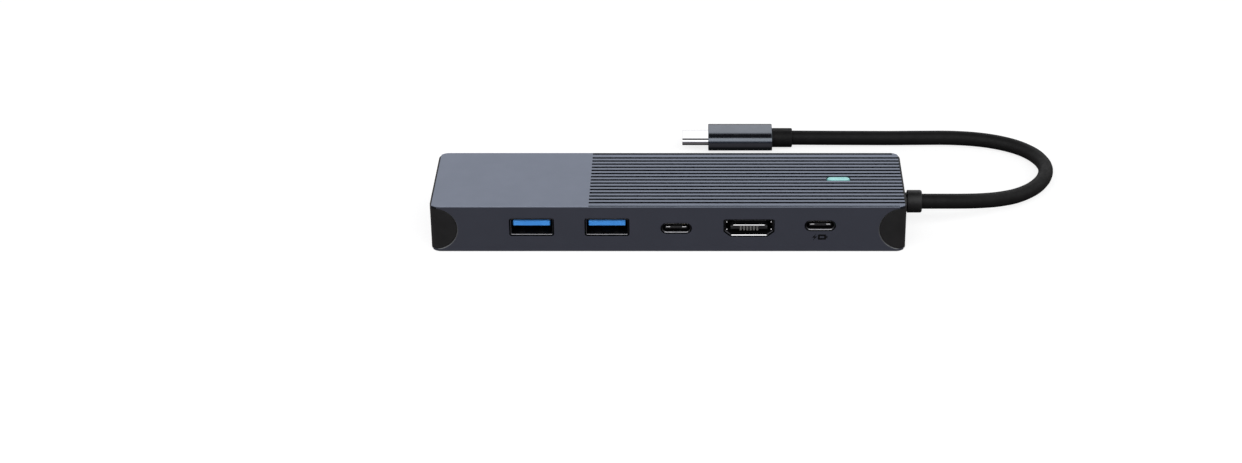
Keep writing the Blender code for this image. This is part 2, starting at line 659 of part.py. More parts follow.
def make_shield():
    """A stamped can over the hub controller, open underneath."""
    foot = BOARD_TOP + GAP
    across, along = PAD_CENTRE
    half = SHIELD_HALF
    can = block("shield_can", (across - half, across + half), (along - half, along + half),
                (foot, foot + SHIELD_HEIGHT))
    inner = SHIELD_HALF - SHIELD_SKIN
    cut(can, block("shield_hollow", (across - inner, across + inner),
                   (along - inner, along + inner), (foot - BEYOND, foot + SHIELD_HEIGHT - SHIELD_SKIN)))
    keep(can, "tinned_steel", smooth=False)


def make_status_light():
    """The light emitter on the board and the clear pipe that carries its light to the top."""
    on_board("status_led", STATUS_LED, LIGHT_PLACE, "led_resin")
    flange_top = HEIGHT - WALL - GAP
    window = (LIGHT_SIZE[0] - 2 * GAP, LIGHT_SIZE[1] - 2 * GAP)
    pipe = prism("light_pipe", stadium(window, LIGHT_PLACE, LIGHT_STEPS), "Z",
                 flange_top - GAP, HEIGHT)
    flange = (LIGHT_SIZE[0] + 2 * LIGHT_FLANGE, LIGHT_SIZE[1] + 2 * LIGHT_FLANGE)
    join(pipe, prism("light_flange", stadium(flange, LIGHT_PLACE, LIGHT_STEPS), "Z",
                     flange_top - LIGHT_FLANGE_THICKNESS, flange_top))
    stem_bottom = BOARD_TOP + GAP + STATUS_LED[2] + GAP
    stem_top = flange_top - LIGHT_STEM_OVERLAP
    join(pipe, cylinder("light_stem", LIGHT_STEM_RADIUS, stem_bottom, stem_top - stem_bottom,
                        LIGHT_PLACE))
    keep(pipe, "diffuse_plastic")


# ---------------------------------------------------------------- lead and plug

def make_strain_relief():
    """A moulded bush: a short collar outside the end cap, and a neck and flange inside it."""
    bore = LEAD_RADIUS + GAP
    collar = WIDTH / 2 + RELIEF_COLLAR_GAP
    flange_end = WIDTH / 2 - CAP_END_WALL - GAP
    flange_start = flange_end - RELIEF_FLANGE_WIDTH
    profile = [
        (bore, RELIEF_END_X), (RELIEF_RADIUS - RELIEF_ROUNDING, RELIEF_END_X),
        (RELIEF_RADIUS, RELIEF_END_X - RELIEF_ROUNDING), (RELIEF_RADIUS, collar),
        (RELIEF_NECK, collar), (RELIEF_NECK, flange_end),
        (RELIEF_FLANGE, flange_end), (RELIEF_FLANGE, flange_start), (bore, flange_start),
    ]
    keep(turned("cable_strain_relief", profile, (0.0, 0.0, LEAD_Z)), "black_rubber")


def make_clamp():
    inner = LEAD_RADIUS + GAP
    outer = inner + CLAMP_WALL
    profile = [(outer, CLAMP_X[1]), (outer, CLAMP_X[0]), (inner, CLAMP_X[0]), (inner, CLAMP_X[1])]
    keep(turned("cable_clamp", profile, (0.0, 0.0, LEAD_Z)), "brass")


def make_lead():
    route = [Vector(point) * MM for point in LEAD_ROUTE]
    keep(tube("cable", smooth_path(route, LEAD_SPACING), LEAD_RADIUS, 3), "black_rubber")


def make_lead_wires():
    """Insulated wires from the end of the lead down to the board."""
    start_x = LEAD_ROUTE[0][0] * MM - GAP
    pad_z = BOARD_TOP + GAP + WIRE_RADIUS
    for name, finish, offset in WIRES:
        route = [Vector((start_x, offset, LEAD_Z))]
        for back, spread, drop in WIRE_ROUTE:
            route.append(Vector((start_x - back, spread * offset, LEAD_Z + drop * (pad_z - LEAD_Z))))
        keep(tube(name, smooth_path(route, 2 * WIRE_RADIUS), WIRE_RADIUS), finish)


def plug_outline(size, inset=0.0):
    return stadium((size[0] - 2 * inset, size[1] - 2 * inset), (PLUG_Y, PLUG_Z))


def plug_shell_outline(inset=0.0):
    """Flat above and below, with elliptical sides."""
    half_flat = PLUG_SHELL_FLAT / 2
    across = PLUG_SHELL_SIZE[0] / 2 - half_flat - inset
    up = PLUG_SHELL_SIZE[1] / 2 - inset
    points = []
    for side, start in ((1, -90), (-1, 90)):
        for u, v in arc((0.0, 0.0), 1.0, start, start + 180, PLUG_SHELL_STEPS):
            points.append((PLUG_Y + side * half_flat + across * u, PLUG_Z + up * v))
    return points


def make_plug():
    shell = prism("plug_shell", plug_shell_outline(), "X", *PLUG_SHELL_X)
    cut(shell, prism("plug_shell_bore", plug_shell_outline(PLUG_SHELL_WALL), "X",
                     PLUG_SHELL_X[0] - BEYOND, PLUG_SHELL_X[1] + BEYOND))
    keep(shell, "grey_anodised_aluminium")

    core_x = (PLUG_SHELL_X[0] + GAP, PLUG_SHELL_X[1] - GAP)
    core = prism("plug_core", plug_shell_outline(PLUG_SHELL_WALL + GAP), "X", *core_x)
    cut(core, prism("plug_nose_pocket", plug_outline(NOSE_SIZE, -GAP), "X",
                    PLUG_SHELL_X[0] - BEYOND, NOSE_X[1] + GAP))
    half_width = PLUG_BOARD_SIZE[0] / 2
    half_height = PLUG_BOARD_SIZE[1] / 2
    cut(core, block("plug_board_pocket", (NOSE_X[1] - GAP, PLUG_BOARD_X[1] + GAP),
                    (PLUG_Y - half_width - GAP, PLUG_Y + half_width + GAP),
                    (PLUG_Z - half_height - GAP, PLUG_Z + half_height + GAP)))
    keep(core, "black_plastic")
    keep(block("plug_board", PLUG_BOARD_X, (PLUG_Y - half_width, PLUG_Y + half_width),
               (PLUG_Z - half_height, PLUG_Z + half_height)), "board_laminate", smooth=False)

    nose = prism("plug_nose", plug_outline(NOSE_SIZE), "X", *NOSE_X)
    cut(nose, prism("plug_nose_bore", plug_outline(NOSE_SIZE, NOSE_WALL), "X",
                    NOSE_X[0] - BEYOND, NOSE_X[1] + BEYOND))
    keep(nose, "steel")
    insert = prism("plug_insert", plug_outline(NOSE_SIZE, NOSE_WALL + INSERT_SLACK), "X", *INSERT_X)
    cut(insert, prism("plug_insert_slot", plug_outline(INSERT_SLOT), "X",
                      INSERT_X[0] - BEYOND, INSERT_SLOT_END))
    keep(insert, "black_plastic")

    boot = prism("plug_boot", plug_outline(BOOT_SIZE), "X", *BOOT_X)
    bore = 2 * (LEAD_RADIUS + GAP)
    cut(boot, prism("plug_boot_bore", plug_outline((bore + BOOT_BORE_FLAT, bore)), "X",
                    BOOT_X[0] - BEYOND, BOOT_X[1] + BEYOND))
    keep(boot, "black_rubber")


clear_scene()
parts = new_collection("docking_station")
cutters = new_collection("construction_shapes")
make_housing()
make_end_cap("end_cap_left", -1)
make_end_cap("end_cap_right", 1)
make_usb_a_ports()
make_usb_c_ports()
make_hdmi_port()
make_board_and_carrier()
make_components()
make_shield()
make_status_light()
make_strain_relief()
make_clamp()
make_lead()
make_lead_wires()
make_plug()
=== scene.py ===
import math

import bmesh
import bpy
from mathutils import Matrix, Vector


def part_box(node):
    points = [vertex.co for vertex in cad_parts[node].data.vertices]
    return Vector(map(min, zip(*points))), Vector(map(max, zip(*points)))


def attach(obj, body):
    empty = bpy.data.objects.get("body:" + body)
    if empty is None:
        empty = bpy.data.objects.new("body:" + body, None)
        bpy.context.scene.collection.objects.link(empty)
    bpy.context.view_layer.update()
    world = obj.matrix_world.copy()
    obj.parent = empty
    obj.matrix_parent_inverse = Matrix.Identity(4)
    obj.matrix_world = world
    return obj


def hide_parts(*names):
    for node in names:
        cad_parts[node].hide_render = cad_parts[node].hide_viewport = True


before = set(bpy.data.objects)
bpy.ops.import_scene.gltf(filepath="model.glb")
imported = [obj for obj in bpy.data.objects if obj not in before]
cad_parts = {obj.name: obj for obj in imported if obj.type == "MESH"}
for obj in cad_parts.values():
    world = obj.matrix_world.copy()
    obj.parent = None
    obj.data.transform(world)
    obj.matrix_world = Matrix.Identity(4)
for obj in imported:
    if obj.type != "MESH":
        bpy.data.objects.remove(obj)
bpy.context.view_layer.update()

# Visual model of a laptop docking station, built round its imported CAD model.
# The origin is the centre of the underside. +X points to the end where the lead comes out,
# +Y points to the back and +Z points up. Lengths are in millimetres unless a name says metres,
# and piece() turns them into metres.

METRES = 0.001  # one millimetre in metres
SHARP_ANGLE = math.radians(38)  # edges that bend more than this are shaded as sharp
TURN_STEPS = 64  # segments in a full turn
BEYOND = 2.0  # how far a cutter runs past what it cuts
SEAM = 0.08  # gap that shows between pieces that fit together


def box(node):
    """The lowest and highest corner of a CAD node, in millimetres."""
    low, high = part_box(node)
    return low / METRES, high / METRES


def middle(node):
    low, high = box(node)
    return (low + high) / 2


def extent(node):
    low, high = box(node)
    return high - low


def shader_node(tree, kind, **settings):
    made = tree.nodes.new("ShaderNode" + kind)
    for name, value in settings.items():
        setattr(made, name, value)
    return made


def set_inputs(node, **values):
    """Gives a shader node its fixed inputs, whose names are written here with underscores."""
    for name, value in values.items():
        socket = name.replace("_", " ").title().replace("Ior", "IOR")
        node.inputs[socket].default_value = value


CAP_END = box("end_cap_right")[1].x
CAP_FLANGE = 0.5  # plate of each cap that covers the end of the sleeve
SLEEVE = box("housing")[1]  # half length, half depth and full height of the sleeve
SLEEVE.x = CAP_END - CAP_FLANGE - SEAM
CORNER_RADIUS = 3.0  # plan radius of the four upright corners
EDGE_CHAMFER = 0.15  # flat chamfer of the sleeve's rims
WALL = 1.2
NOTCH_CENTRE_X = CAP_END - 1.4
NOTCH_RADIUS = 6.8
NOTCH_DEPTH = 1.4
NOTCH_CHAMFER = 0.2
RING_START_X = 62.0  # inner end of the ring of each cap that grips the sleeve

GROOVE_PITCH = 2.17
GROOVE_WIDTH = 1.05
GROOVE_DEPTH = 0.62
GROOVES_EACH_WAY = 7  # full grooves on each side of the middle one
GROOVE_START_X = -CAP_END / 3
GROOVE_MIDDLE_Y = -0.4
EDGE_GROOVE_WIDTH = 0.6  # the narrow groove beside the front edge
EDGE_GROOVE_Y = -17.92
BACK_GROOVE_Y = 17.6
OUTER_GROOVE_END_X = CAP_END - CORNER_RADIUS + 0.7  # so that the corners stay whole

LIGHT_SLOT = (7.4, 2.9)  # opening for the light pipe
PORT_OPENING = 0.25  # between a connector shell and the edge of its opening
PORT_CHAMFER = 0.05
SHELL_WALL = 0.3
SHELL_CLEAR = 0.05  # between a connector shell and the base of its insulator
BASE_FRONT = 2.4  # how far the base's front is from the back of its shell
BASE_BACK = 0.2
TONGUE_ROOT = 1.0  # where a tongue ends inside its base, from the same back
USB_A_CORNER = 0.5
HDMI_CORNER = 0.35


# ------------ camera, world and lights

CAMERA_PLACE = Vector((0.01045, -0.6883, 0.363))  # metres
CAMERA_ELEVATION = math.radians(28)
CAMERA_LENS = 72.75
SENSOR_WIDTH = 36.0
CAMERA_SHIFT = -0.0659

# Light from the room: the sine of the height above the horizon, and the colour there
WORLD_BAND = (
    (-1.0, (0.02, 0.02, 0.022)), (-0.78, (0.03, 0.03, 0.03)), (-0.55, (0.128, 0.117, 0.124)),
    (-0.4, (0.15, 0.136, 0.142)), (0.02, (0.16, 0.145, 0.151)), (0.35, (0.98, 0.98, 1.0)),
    (0.59, (1.0, 1.0, 1.02)), (0.72, (0.03, 0.03, 0.035)), (1.0, (0.02, 0.02, 0.024)),
)
WORLD_STRENGTH = 1.15
BACKDROP = 0.97  # how bright the room looks straight from the camera


def make_camera():
    camera = bpy.data.objects.new("camera", bpy.data.cameras.new("camera"))
    bpy.context.scene.collection.objects.link(camera)
    camera.location = CAMERA_PLACE
    camera.rotation_euler = (math.radians(90) - CAMERA_ELEVATION, 0.0, 0.0)
    camera.data.lens = CAMERA_LENS
    camera.data.sensor_width = SENSOR_WIDTH
    camera.data.shift_x = CAMERA_SHIFT
    bpy.context.scene.camera = camera


def softbox(name, azimuth, elevation, distance, size, radiance, gloss=True):
    """A rectangular light that faces the dock. Azimuth 0 is in front and 90 is at the lead's
    end; distance and size are in metres. Without gloss it is not mirrored in anything."""
    light = bpy.data.lights.new(name, "AREA")
    light.shape = "RECTANGLE"
    light.size, light.size_y = size
    light.energy = radiance * math.pi * size[0] * size[1]
    lamp = bpy.data.objects.new(name, light)
    bpy.context.scene.collection.objects.link(lamp)
    around = math.radians(azimuth)
    above = math.radians(elevation)
    direction = Vector((math.sin(around) * math.cos(above), -math.cos(around) * math.cos(above),
                        math.sin(above)))
    lamp.location = direction * distance
    lamp.rotation_euler = direction.to_track_quat("Z", "Y").to_euler()
    lamp.visible_camera = False
    lamp.visible_glossy = gloss


def make_world():
    """A room that is dim below, dark overhead and pale all round from 20 to 36 degrees up."""
    world = bpy.data.worlds.new("studio")
    bpy.context.scene.world = world
    world.use_nodes = True
    tree = world.node_tree
    background = tree.nodes["Background"]
    direction = shader_node(tree, "TexCoord")
    parts = shader_node(tree, "SeparateXYZ")
    tree.links.new(direction.outputs["Generated"], parts.inputs[0])

    height = shader_node(tree, "MapRange")
    set_inputs(height, from_min=-1.0)
    tree.links.new(parts.outputs["Z"], height.inputs["Value"])
    band = shader_node(tree, "ValToRGB")
    tree.links.new(height.outputs["Result"], band.inputs["Fac"])
    ramp = band.color_ramp
    while len(ramp.elements) < len(WORLD_BAND):
        ramp.elements.new(1.0)
    for element, (place, colour) in zip(ramp.elements, WORLD_BAND):
        element.position = (place + 1) / 2
        element.color = (*colour, 1.0)

    seen = shader_node(tree, "LightPath")
    choice = shader_node(tree, "Mix", data_type="RGBA")
    set_inputs(choice, b=(*(BACKDROP / WORLD_STRENGTH,) * 3, 1.0))
    set_inputs(background, strength=WORLD_STRENGTH)
    tree.links.new(seen.outputs["Is Camera Ray"], choice.inputs["Factor"])
    tree.links.new(band.outputs["Color"], choice.inputs["A"])
    tree.links.new(choice.outputs["Result"], background.inputs["Color"])


def make_floor():
    """A plain pale sheet just under everything, which the dock's metal doesn't mirror. It
    can't be seen from below."""
    reach = 3.0  # metres, like the drop
    drop = 0.0002
    grey = (0.36, 0.36, 0.36, 1.0)
    own_light = 0.78
    shape = bmesh.new()
    bmesh.ops.create_grid(shape, x_segments=2, y_segments=2, size=reach)
    mesh = bpy.data.meshes.new("floor")
    shape.to_mesh(mesh)
    shape.free()
    floor = bpy.data.objects.new("floor", mesh)
    bpy.context.scene.collection.objects.link(floor)
    material = bpy.data.materials.new("pale_paper")
    material.use_nodes = True
    tree = material.node_tree
    shader = tree.nodes["Principled BSDF"]
    set_inputs(shader, base_color=grey, roughness=0.9, specular_ior_level=0.0,
               emission_color=(1.0, 1.0, 1.0, 1.0), emission_strength=own_light)
    below = shader_node(tree, "NewGeometry")
    clear = shader_node(tree, "BsdfTransparent")
    choice = shader_node(tree, "MixShader")
    tree.links.new(below.outputs["Backfacing"], choice.inputs[0])
    tree.links.new(shader.outputs[0], choice.inputs[1])
    tree.links.new(clear.outputs[0], choice.inputs[2])
    tree.links.new(choice.outputs[0], tree.nodes["Material Output"].inputs["Surface"])
    mesh.materials.append(material)
    floor.location.z = -drop
    floor.visible_glossy = False
    floor.visible_diffuse = False


make_camera()
make_world()
make_floor()
softbox("key", 0, 58, 1.2, (2.2, 0.8), 1.35)
softbox("front_fill", 0, 18, 1.2, (1.4, 0.6), 1.75, gloss=False)
bpy.context.scene.view_settings.view_transform = "Standard"


# ------------ materials

def noise(tree, place, size, detail=3.0, stretch=(1.0, 1.0, 1.0)):
    """Cloudy noise whose patches are about a size in millimetres, longer along stretched axes."""
    mapping = shader_node(tree, "Mapping")
    set_inputs(mapping, scale=[1.0 / (size * METRES * s) for s in stretch])
    tree.links.new(place, mapping.inputs["Vector"])
    texture = shader_node(tree, "TexNoise")
    set_inputs(texture, scale=1.0, detail=detail)
    tree.links.new(mapping.outputs["Vector"], texture.inputs["Vector"])
    return texture.outputs["Fac"]


def between(tree, fac, low, high, start=0.3, stop=0.7):
    """Turns noise between two levels into a smooth step between two values."""
    ramp = shader_node(tree, "MapRange", interpolation_type="SMOOTHSTEP")
    set_inputs(ramp, from_min=start, from_max=stop, to_min=low, to_max=high)
    tree.links.new(fac, ramp.inputs["Value"])
    return ramp.outputs["Result"]


def blend_colours(tree, fac, first, second):
    mix = shader_node(tree, "Mix", data_type="RGBA")
    set_inputs(mix, a=(*first, 1.0), b=(*second, 1.0))
    tree.links.new(fac, mix.inputs["Factor"])
    return mix.outputs["Result"]


def finish(name, colours, roughness, patch, grain, relief, metallic=0.0,
           stretch=(1.0, 1.0, 1.0), scratches=0.0, **uniform):
    """A material with patches between two colours and two roughnesses, and a grain that stands
    up by relief. Scratches are thin lines along X that are smoother than the rest."""
    material = bpy.data.materials.new(name)
    material.use_nodes = True
    tree = material.node_tree
    shader = tree.nodes["Principled BSDF"]
    place = shader_node(tree, "TexCoord").outputs["Object"]

    cloud = between(tree, noise(tree, place, patch), 0.0, 1.0)
    tree.links.new(blend_colours(tree, cloud, *colours), shader.inputs["Base Color"])

    smudge_size = patch * 0.37
    smudge = between(tree, noise(tree, place, smudge_size, 4.0), *roughness)
    if scratches:
        scratch_width = 0.25
        streaks = noise(tree, place, scratch_width, 2.0, (60.0, 1.0, 1.0))
        lines = between(tree, streaks, 0.0, -scratches, 0.66, 0.72)
        total = shader_node(tree, "Math", operation="ADD", use_clamp=True)
        tree.links.new(smudge, total.inputs[0])
        tree.links.new(lines, total.inputs[1])
        smudge = total.outputs["Value"]
    tree.links.new(smudge, shader.inputs["Roughness"])

    bump = shader_node(tree, "Bump")
    set_inputs(bump, distance=relief * METRES, strength=1.0)
    tree.links.new(noise(tree, place, grain, 2.0, stretch), bump.inputs["Height"])
    tree.links.new(bump.outputs["Normal"], shader.inputs["Normal"])

    set_inputs(shader, metallic=metallic, **uniform)
    return material


BRUSHED = (12.0, 1.0, 1.0)  # stretches the grain of a metal along X

ALUMINIUM = finish(
    "anodised_aluminium", ((0.202, 0.228, 0.287), (0.208, 0.234, 0.295)), (0.352, 0.368), 9.0,
    grain=0.16, relief=0.003, metallic=1.0, scratches=0.05)
RIM_ALUMINIUM = finish(
    "aluminium_rim", ((0.19, 0.212, 0.264), (0.205, 0.228, 0.282)), (0.3, 0.38), 4.0,
    grain=0.12, relief=0.002, metallic=1.0, stretch=BRUSHED)
# Painted shade: near-black aluminium for the grooves and the walls of the port openings, where shade
# falls
PAINTED_SHADE_ALUMINIUM = finish(
    "aluminium_painted_shade_in_grooves", ((0.04, 0.045, 0.056), (0.048, 0.054, 0.067)), (0.45, 0.55), 4.0,
    grain=0.12, relief=0.002, metallic=1.0, stretch=BRUSHED)
CUT_ALUMINIUM = finish(
    "cut_aluminium_edge", ((0.15, 0.155, 0.16), (0.18, 0.185, 0.19)), (0.45, 0.55), 3.0,
    grain=0.12, relief=0.002, metallic=0.45, stretch=BRUSHED)
PLUG_ALUMINIUM = finish(
    "plug_aluminium", ((0.148, 0.164, 0.188), (0.159, 0.176, 0.202)), (0.2, 0.23), 5.0,
    grain=0.14, relief=0.0008, metallic=1.0, stretch=(6.0, 1.0, 1.0))
CAP_PLASTIC = finish(
    "moulded_cap_plastic", ((0.0105, 0.0105, 0.0108), (0.0135, 0.0135, 0.0138)), (0.48, 0.58), 4.0,
    grain=0.22, relief=0.01, specular_ior_level=0.35)
RUBBER = finish(
    "lead_rubber", ((0.0055, 0.0055, 0.0055), (0.0075, 0.0075, 0.0075)), (0.5, 0.6), 3.0,
    grain=0.3, relief=0.008, specular_ior_level=0.18)
BUSH_RUBBER = finish(
    "bush_rubber", ((0.0108, 0.0108, 0.011), (0.0135, 0.0135, 0.0137)), (0.42, 0.5), 3.0,
    grain=0.3, relief=0.008, specular_ior_level=0.4)
BRIGHT_STEEL = finish(
    "bright_steel", ((0.88, 0.88, 0.885), (0.94, 0.94, 0.945)), (0.05, 0.09), 3.0,
    grain=0.1, relief=0.001, metallic=1.0, stretch=(10.0, 1.0, 1.0))
# Painted shade: near-black steel for the inside of the USB-A shells and their springs, bright steel
# that lies in shade
PAINTED_SHADE_SHELL_STEEL = finish(
    "connector_inside_painted_shade", ((0.03, 0.03, 0.033), (0.05, 0.05, 0.053)), (0.4, 0.5), 2.0,
    grain=0.15, relief=0.002, metallic=1.0)
# Painted shade: near-black steel for the USB-C and HDMI shells everywhere but the lit lower lip
PAINTED_SHADE_STEEL = finish(
    "blackened_steel", ((0.035, 0.035, 0.04), (0.055, 0.055, 0.06)), (0.3, 0.4), 2.0,
    grain=0.12, relief=0.002, metallic=0.9)
LIP_STEEL = finish(
    "worn_connector_lip", ((0.48, 0.48, 0.49), (0.56, 0.56, 0.57)), (0.2, 0.3), 1.5,
    grain=0.1, relief=0.001, metallic=1.0)
# Painted highlight: lighter steel for the upward faces of the USB-A and USB-C lips, which catch the
# light
PAINTED_HIGHLIGHT_LIP_STEEL = finish(
    "connector_lip_painted_highlight", ((0.28, 0.28, 0.295), (0.34, 0.34, 0.355)), (0.3, 0.4), 1.5,
    grain=0.1, relief=0.001, metallic=1.0)
BLUE_PLASTIC = finish(
    "blue_connector_plastic", ((0.053, 0.285, 0.78), (0.066, 0.32, 0.84)), (0.34, 0.44), 3.0,
    grain=0.25, relief=0.004)
BLACK_INSULATOR = finish(
    "black_connector_plastic", ((0.012, 0.012, 0.013), (0.018, 0.018, 0.019)), (0.38, 0.5), 2.0,
    grain=0.2, relief=0.003)
GOLD = finish(
    "gold_plated_contact", ((0.75, 0.52, 0.2), (0.82, 0.6, 0.27)), (0.18, 0.28), 1.0,
    grain=0.08, relief=0.001, metallic=1.0)
DULL_CONTACT = finish(
    "dull_contact", ((0.13, 0.127, 0.12), (0.17, 0.166, 0.157)), (0.35, 0.45), 1.0,
    grain=0.08, relief=0.001, metallic=0.25)
INK = finish(
    "printed_mark", ((0.003, 0.003, 0.0035), (0.005, 0.005, 0.0055)), (0.55, 0.65), 1.0,
    grain=0.1, relief=0.002, specular_ior_level=0.1)
GLOW = finish(
    "light_pipe_glow", ((0.3, 0.64, 0.62), (0.34, 0.68, 0.66)), (0.35, 0.45), 2.0,
    grain=0.3, relief=0.004, emission_color=(0.5, 1.0, 0.96, 1.0), emission_strength=0.14)
GLOW_RIM = finish(
    "light_pipe_rim", ((0.08, 0.25, 0.24), (0.1, 0.3, 0.28)), (0.35, 0.45), 2.0,
    grain=0.3, relief=0.004, emission_color=(0.1, 0.36, 0.34, 1.0), emission_strength=0.35)

# Finishes of the CAD nodes that stay as they are
CAD_FINISHES = {
    "carrier_plastic": finish(
        "carrier_plastic", ((0.045, 0.045, 0.05), (0.06, 0.06, 0.065)), (0.5, 0.62), 5.0,
        grain=0.3, relief=0.01),
    "board_laminate": finish(
        "board_laminate", ((0.006, 0.07, 0.038), (0.01, 0.11, 0.06)), (0.3, 0.42), 4.0,
        grain=0.5, relief=0.006, stretch=(1.0, 4.0, 1.0)),
    "chip_resin": finish(
        "chip_resin", ((0.01, 0.01, 0.011), (0.018, 0.018, 0.019)), (0.45, 0.6), 2.0,
        grain=0.12, relief=0.006),
    "ferrite": finish(
        "ferrite", ((0.06, 0.06, 0.065), (0.1, 0.1, 0.1)), (0.6, 0.78), 1.5,
        grain=0.2, relief=0.02),
    "tinned_steel": finish(
        "tinned_steel", ((0.52, 0.52, 0.53), (0.66, 0.66, 0.66)), (0.26, 0.4), 3.0,
        grain=0.2, relief=0.003, metallic=1.0, stretch=(8.0, 1.0, 1.0)),
    "thermal_silicone": finish(
        "thermal_silicone", ((0.3, 0.37, 0.46), (0.38, 0.45, 0.53)), (0.7, 0.85), 2.0,
        grain=0.4, relief=0.02),
    "led_resin": finish(
        "led_resin", ((0.8, 0.78, 0.45), (0.9, 0.88, 0.55)), (0.25, 0.35), 0.8,
        grain=0.2, relief=0.003),
    "brass": finish(
        "crimped_brass", ((0.5, 0.34, 0.12), (0.64, 0.45, 0.18)), (0.28, 0.4), 1.5,
        grain=0.15, relief=0.003, metallic=1.0),
}
WIRE_COLOURS = {
    "red": ((0.42, 0.014, 0.014), (0.52, 0.022, 0.02)),
    "black": ((0.014, 0.014, 0.014), (0.02, 0.02, 0.02)),
    "green": ((0.014, 0.24, 0.04), (0.02, 0.32, 0.06)),
    "white": ((0.6, 0.6, 0.58), (0.7, 0.7, 0.68)),
}
for colour, shades in WIRE_COLOURS.items():
    CAD_FINISHES[f"wire_{colour}"] = finish(f"{colour}_wire_jacket", shades, (0.4, 0.52), 1.5,
                                            grain=0.15, relief=0.003)


# ------------ outlines

def arc(centre, radius, start, end, steps):
    """Points along an arc; the angles are in degrees, anticlockwise from the first axis."""
    points = []
    for step in range(steps + 1):
        angle = math.radians(start + (end - start) * step / steps)
        points.append((centre[0] + radius * math.cos(angle), centre[1] + radius * math.sin(angle)))
    return points


def rounded_box(centre, size, radius, steps):
    """An outline that can be asked for at any inset: a rectangle with round corners."""
    def outline(inset=0.0):
        turn = max(radius - inset, 0.02)
        across = size[0] / 2 - inset - turn
        up = size[1] / 2 - inset - turn
        points = []
        for quarter, (side, level) in enumerate(((1, 1), (-1, 1), (-1, -1), (1, -1))):
            corner = (centre[0] + side * across, centre[1] + level * up)
            points += arc(corner, turn, 90 * quarter, 90 * quarter + 90, steps)
        return points
    return outline


def stadium(centre, size, steps):
    """An outline at any inset: a slot shape with round ends, longer along its first axis."""
    def outline(inset=0.0):
        radius = size[1] / 2 - inset
        reach = (size[0] - size[1]) / 2
        right = arc((centre[0] + reach, centre[1]), radius, -90, 90, 2 * steps)
        left = arc((centre[0] - reach, centre[1]), radius, 90, 270, 2 * steps)
        return right + left
    return outline


def flattened(centre, size, flat, steps):
    """An outline at any inset: flat above and below, with rather square elliptical sides."""
    squareness = 0.8

    def outline(inset=0.0):
        across = (size[0] - flat) / 2 - inset
        up = size[1] / 2 - inset
        points = []
        for side, start in ((1, -90), (-1, 90)):
            for u, v in arc((0.0, 0.0), 1.0, start, start + 180, 2 * steps):
                u, v = (math.copysign(abs(part) ** squareness, part) for part in (u, v))
                points.append((centre[0] + side * flat / 2 + across * u, centre[1] + up * v))
        return points
    return outline


def rounded_polygon(corners, radius, steps=4):
    """An outline at any inset: a convex polygon, anticlockwise, with round corners."""
    def outline(inset=0.0):
        count = len(corners)
        lines = []
        for index in range(count):
            start = Vector(corners[index])
            along = (Vector(corners[(index + 1) % count]) - start).normalized()
            inward = Vector((-along.y, along.x))
            lines.append((start + inward * inset, along))
        points = []
        for index in range(count):
            (here, before), (there, after) = lines[index - 1], lines[index]
            cross = before.x * after.y - before.y * after.x
            gap = there - here
            corner = here + before * ((gap.x * after.y - gap.y * after.x) / cross)
            turn = max(radius - inset, 0.05)
            bend = math.acos(max(-1.0, min(1.0, before.dot(after))))
            tangent = turn * math.tan(bend / 2)
            centre = corner - before * tangent + Vector((-before.y, before.x)) * turn
            start = math.degrees(math.atan2(-before.x, before.y))
            points += arc(centre, turn, start, start + math.degrees(bend), steps)
        return points
    return outline


def notch(side, radius):
    """An outline at any inset: the D at one end, a half circle that runs on past the end."""
    def outline(inset=0.0):
        past = CAP_END + BEYOND
        level = SLEEVE.z / 2
        curve = arc((NOTCH_CENTRE_X, level), radius - inset, 90, 270, TURN_STEPS // 2)
        points = curve + [(past, level - radius + inset), (past, level + radius - inset)]
        return [(side * x, z) for x, z in points]
    return outline


# ------------ building in mesh code

def along_x(u, v, distance):
    return (distance, u, v)


def along_y(u, v, distance):
    return (u, distance, v)


def along_z(u, v, distance):
    return (u, v, distance)


def add_skin(shape, rings, closed=False):
    """Joins rings of matching points. Closed joins the last to the first; otherwise both ends
    are filled."""
    rows = [[shape.verts.new(point) for point in ring] for ring in rings]
    pairs = list(zip(rows, rows[1:]))
    if closed:
        pairs.append((rows[-1], rows[0]))
    count = len(rows[0])
    for here, there in pairs:
        for i in range(count):
            j = (i + 1) % count
            shape.faces.new((here[i], here[j], there[j], there[i]))
    if not closed:
        shape.faces.new(rows[0])
        shape.faces.new(rows[-1])


def add_sweep(shape, outline, profile, axis, closed=False):
    """Carries an outline along an axis; the profile is (inset, distance) pairs."""
    add_skin(shape, [[axis(u, v, distance) for u, v in outline(inset)]
                     for inset, distance in profile], closed)


def swept(outline, profile, axis, closed=False):
    """A new shape that holds one sweep."""
    shape = bmesh.new()
    add_sweep(shape, outline, profile, axis, closed)
    return shape


def add_turn(shape, profile, centre):
    """Turns a closed profile of (radius, x) points round a line along X."""
    rings = []
    for step in range(TURN_STEPS):
        angle = 2 * math.pi * step / TURN_STEPS
        rings.append([(x, centre[0] + r * math.cos(angle), centre[1] + r * math.sin(angle))
                      for r, x in profile])
    add_skin(shape, rings, closed=True)


def add_bar(shape, low, high, radius, axis=along_y):
    """A bar along Y or X between any two corners, with round long edges and chamfered ends."""
    low, high = zip(*(sorted(pair) for pair in zip(low, high)))
    length, across = (1, 0) if axis is along_y else (0, 1)
    centre = ((low[across] + high[across]) / 2, (low[2] + high[2]) / 2)
    size = (high[across] - low[across], high[2] - low[2])
    start, stop = low[length], high[length]
    ends = [(radius, start), (0.0, start + radius), (0.0, stop - radius), (radius, stop)]
    add_sweep(shape, rounded_box(centre, size, radius * 1.05, 3), ends, axis)


def add_row(shape, middle_x, count, pitch, half_width, y, z, radius):
    """A row of bars side by side, each between the same two values of y and of z."""
    for index in range(count):
        x = middle_x + (index - (count - 1) / 2) * pitch
        add_bar(shape, (x - half_width, y[0], z[0]), (x + half_width, y[1], z[1]), radius)


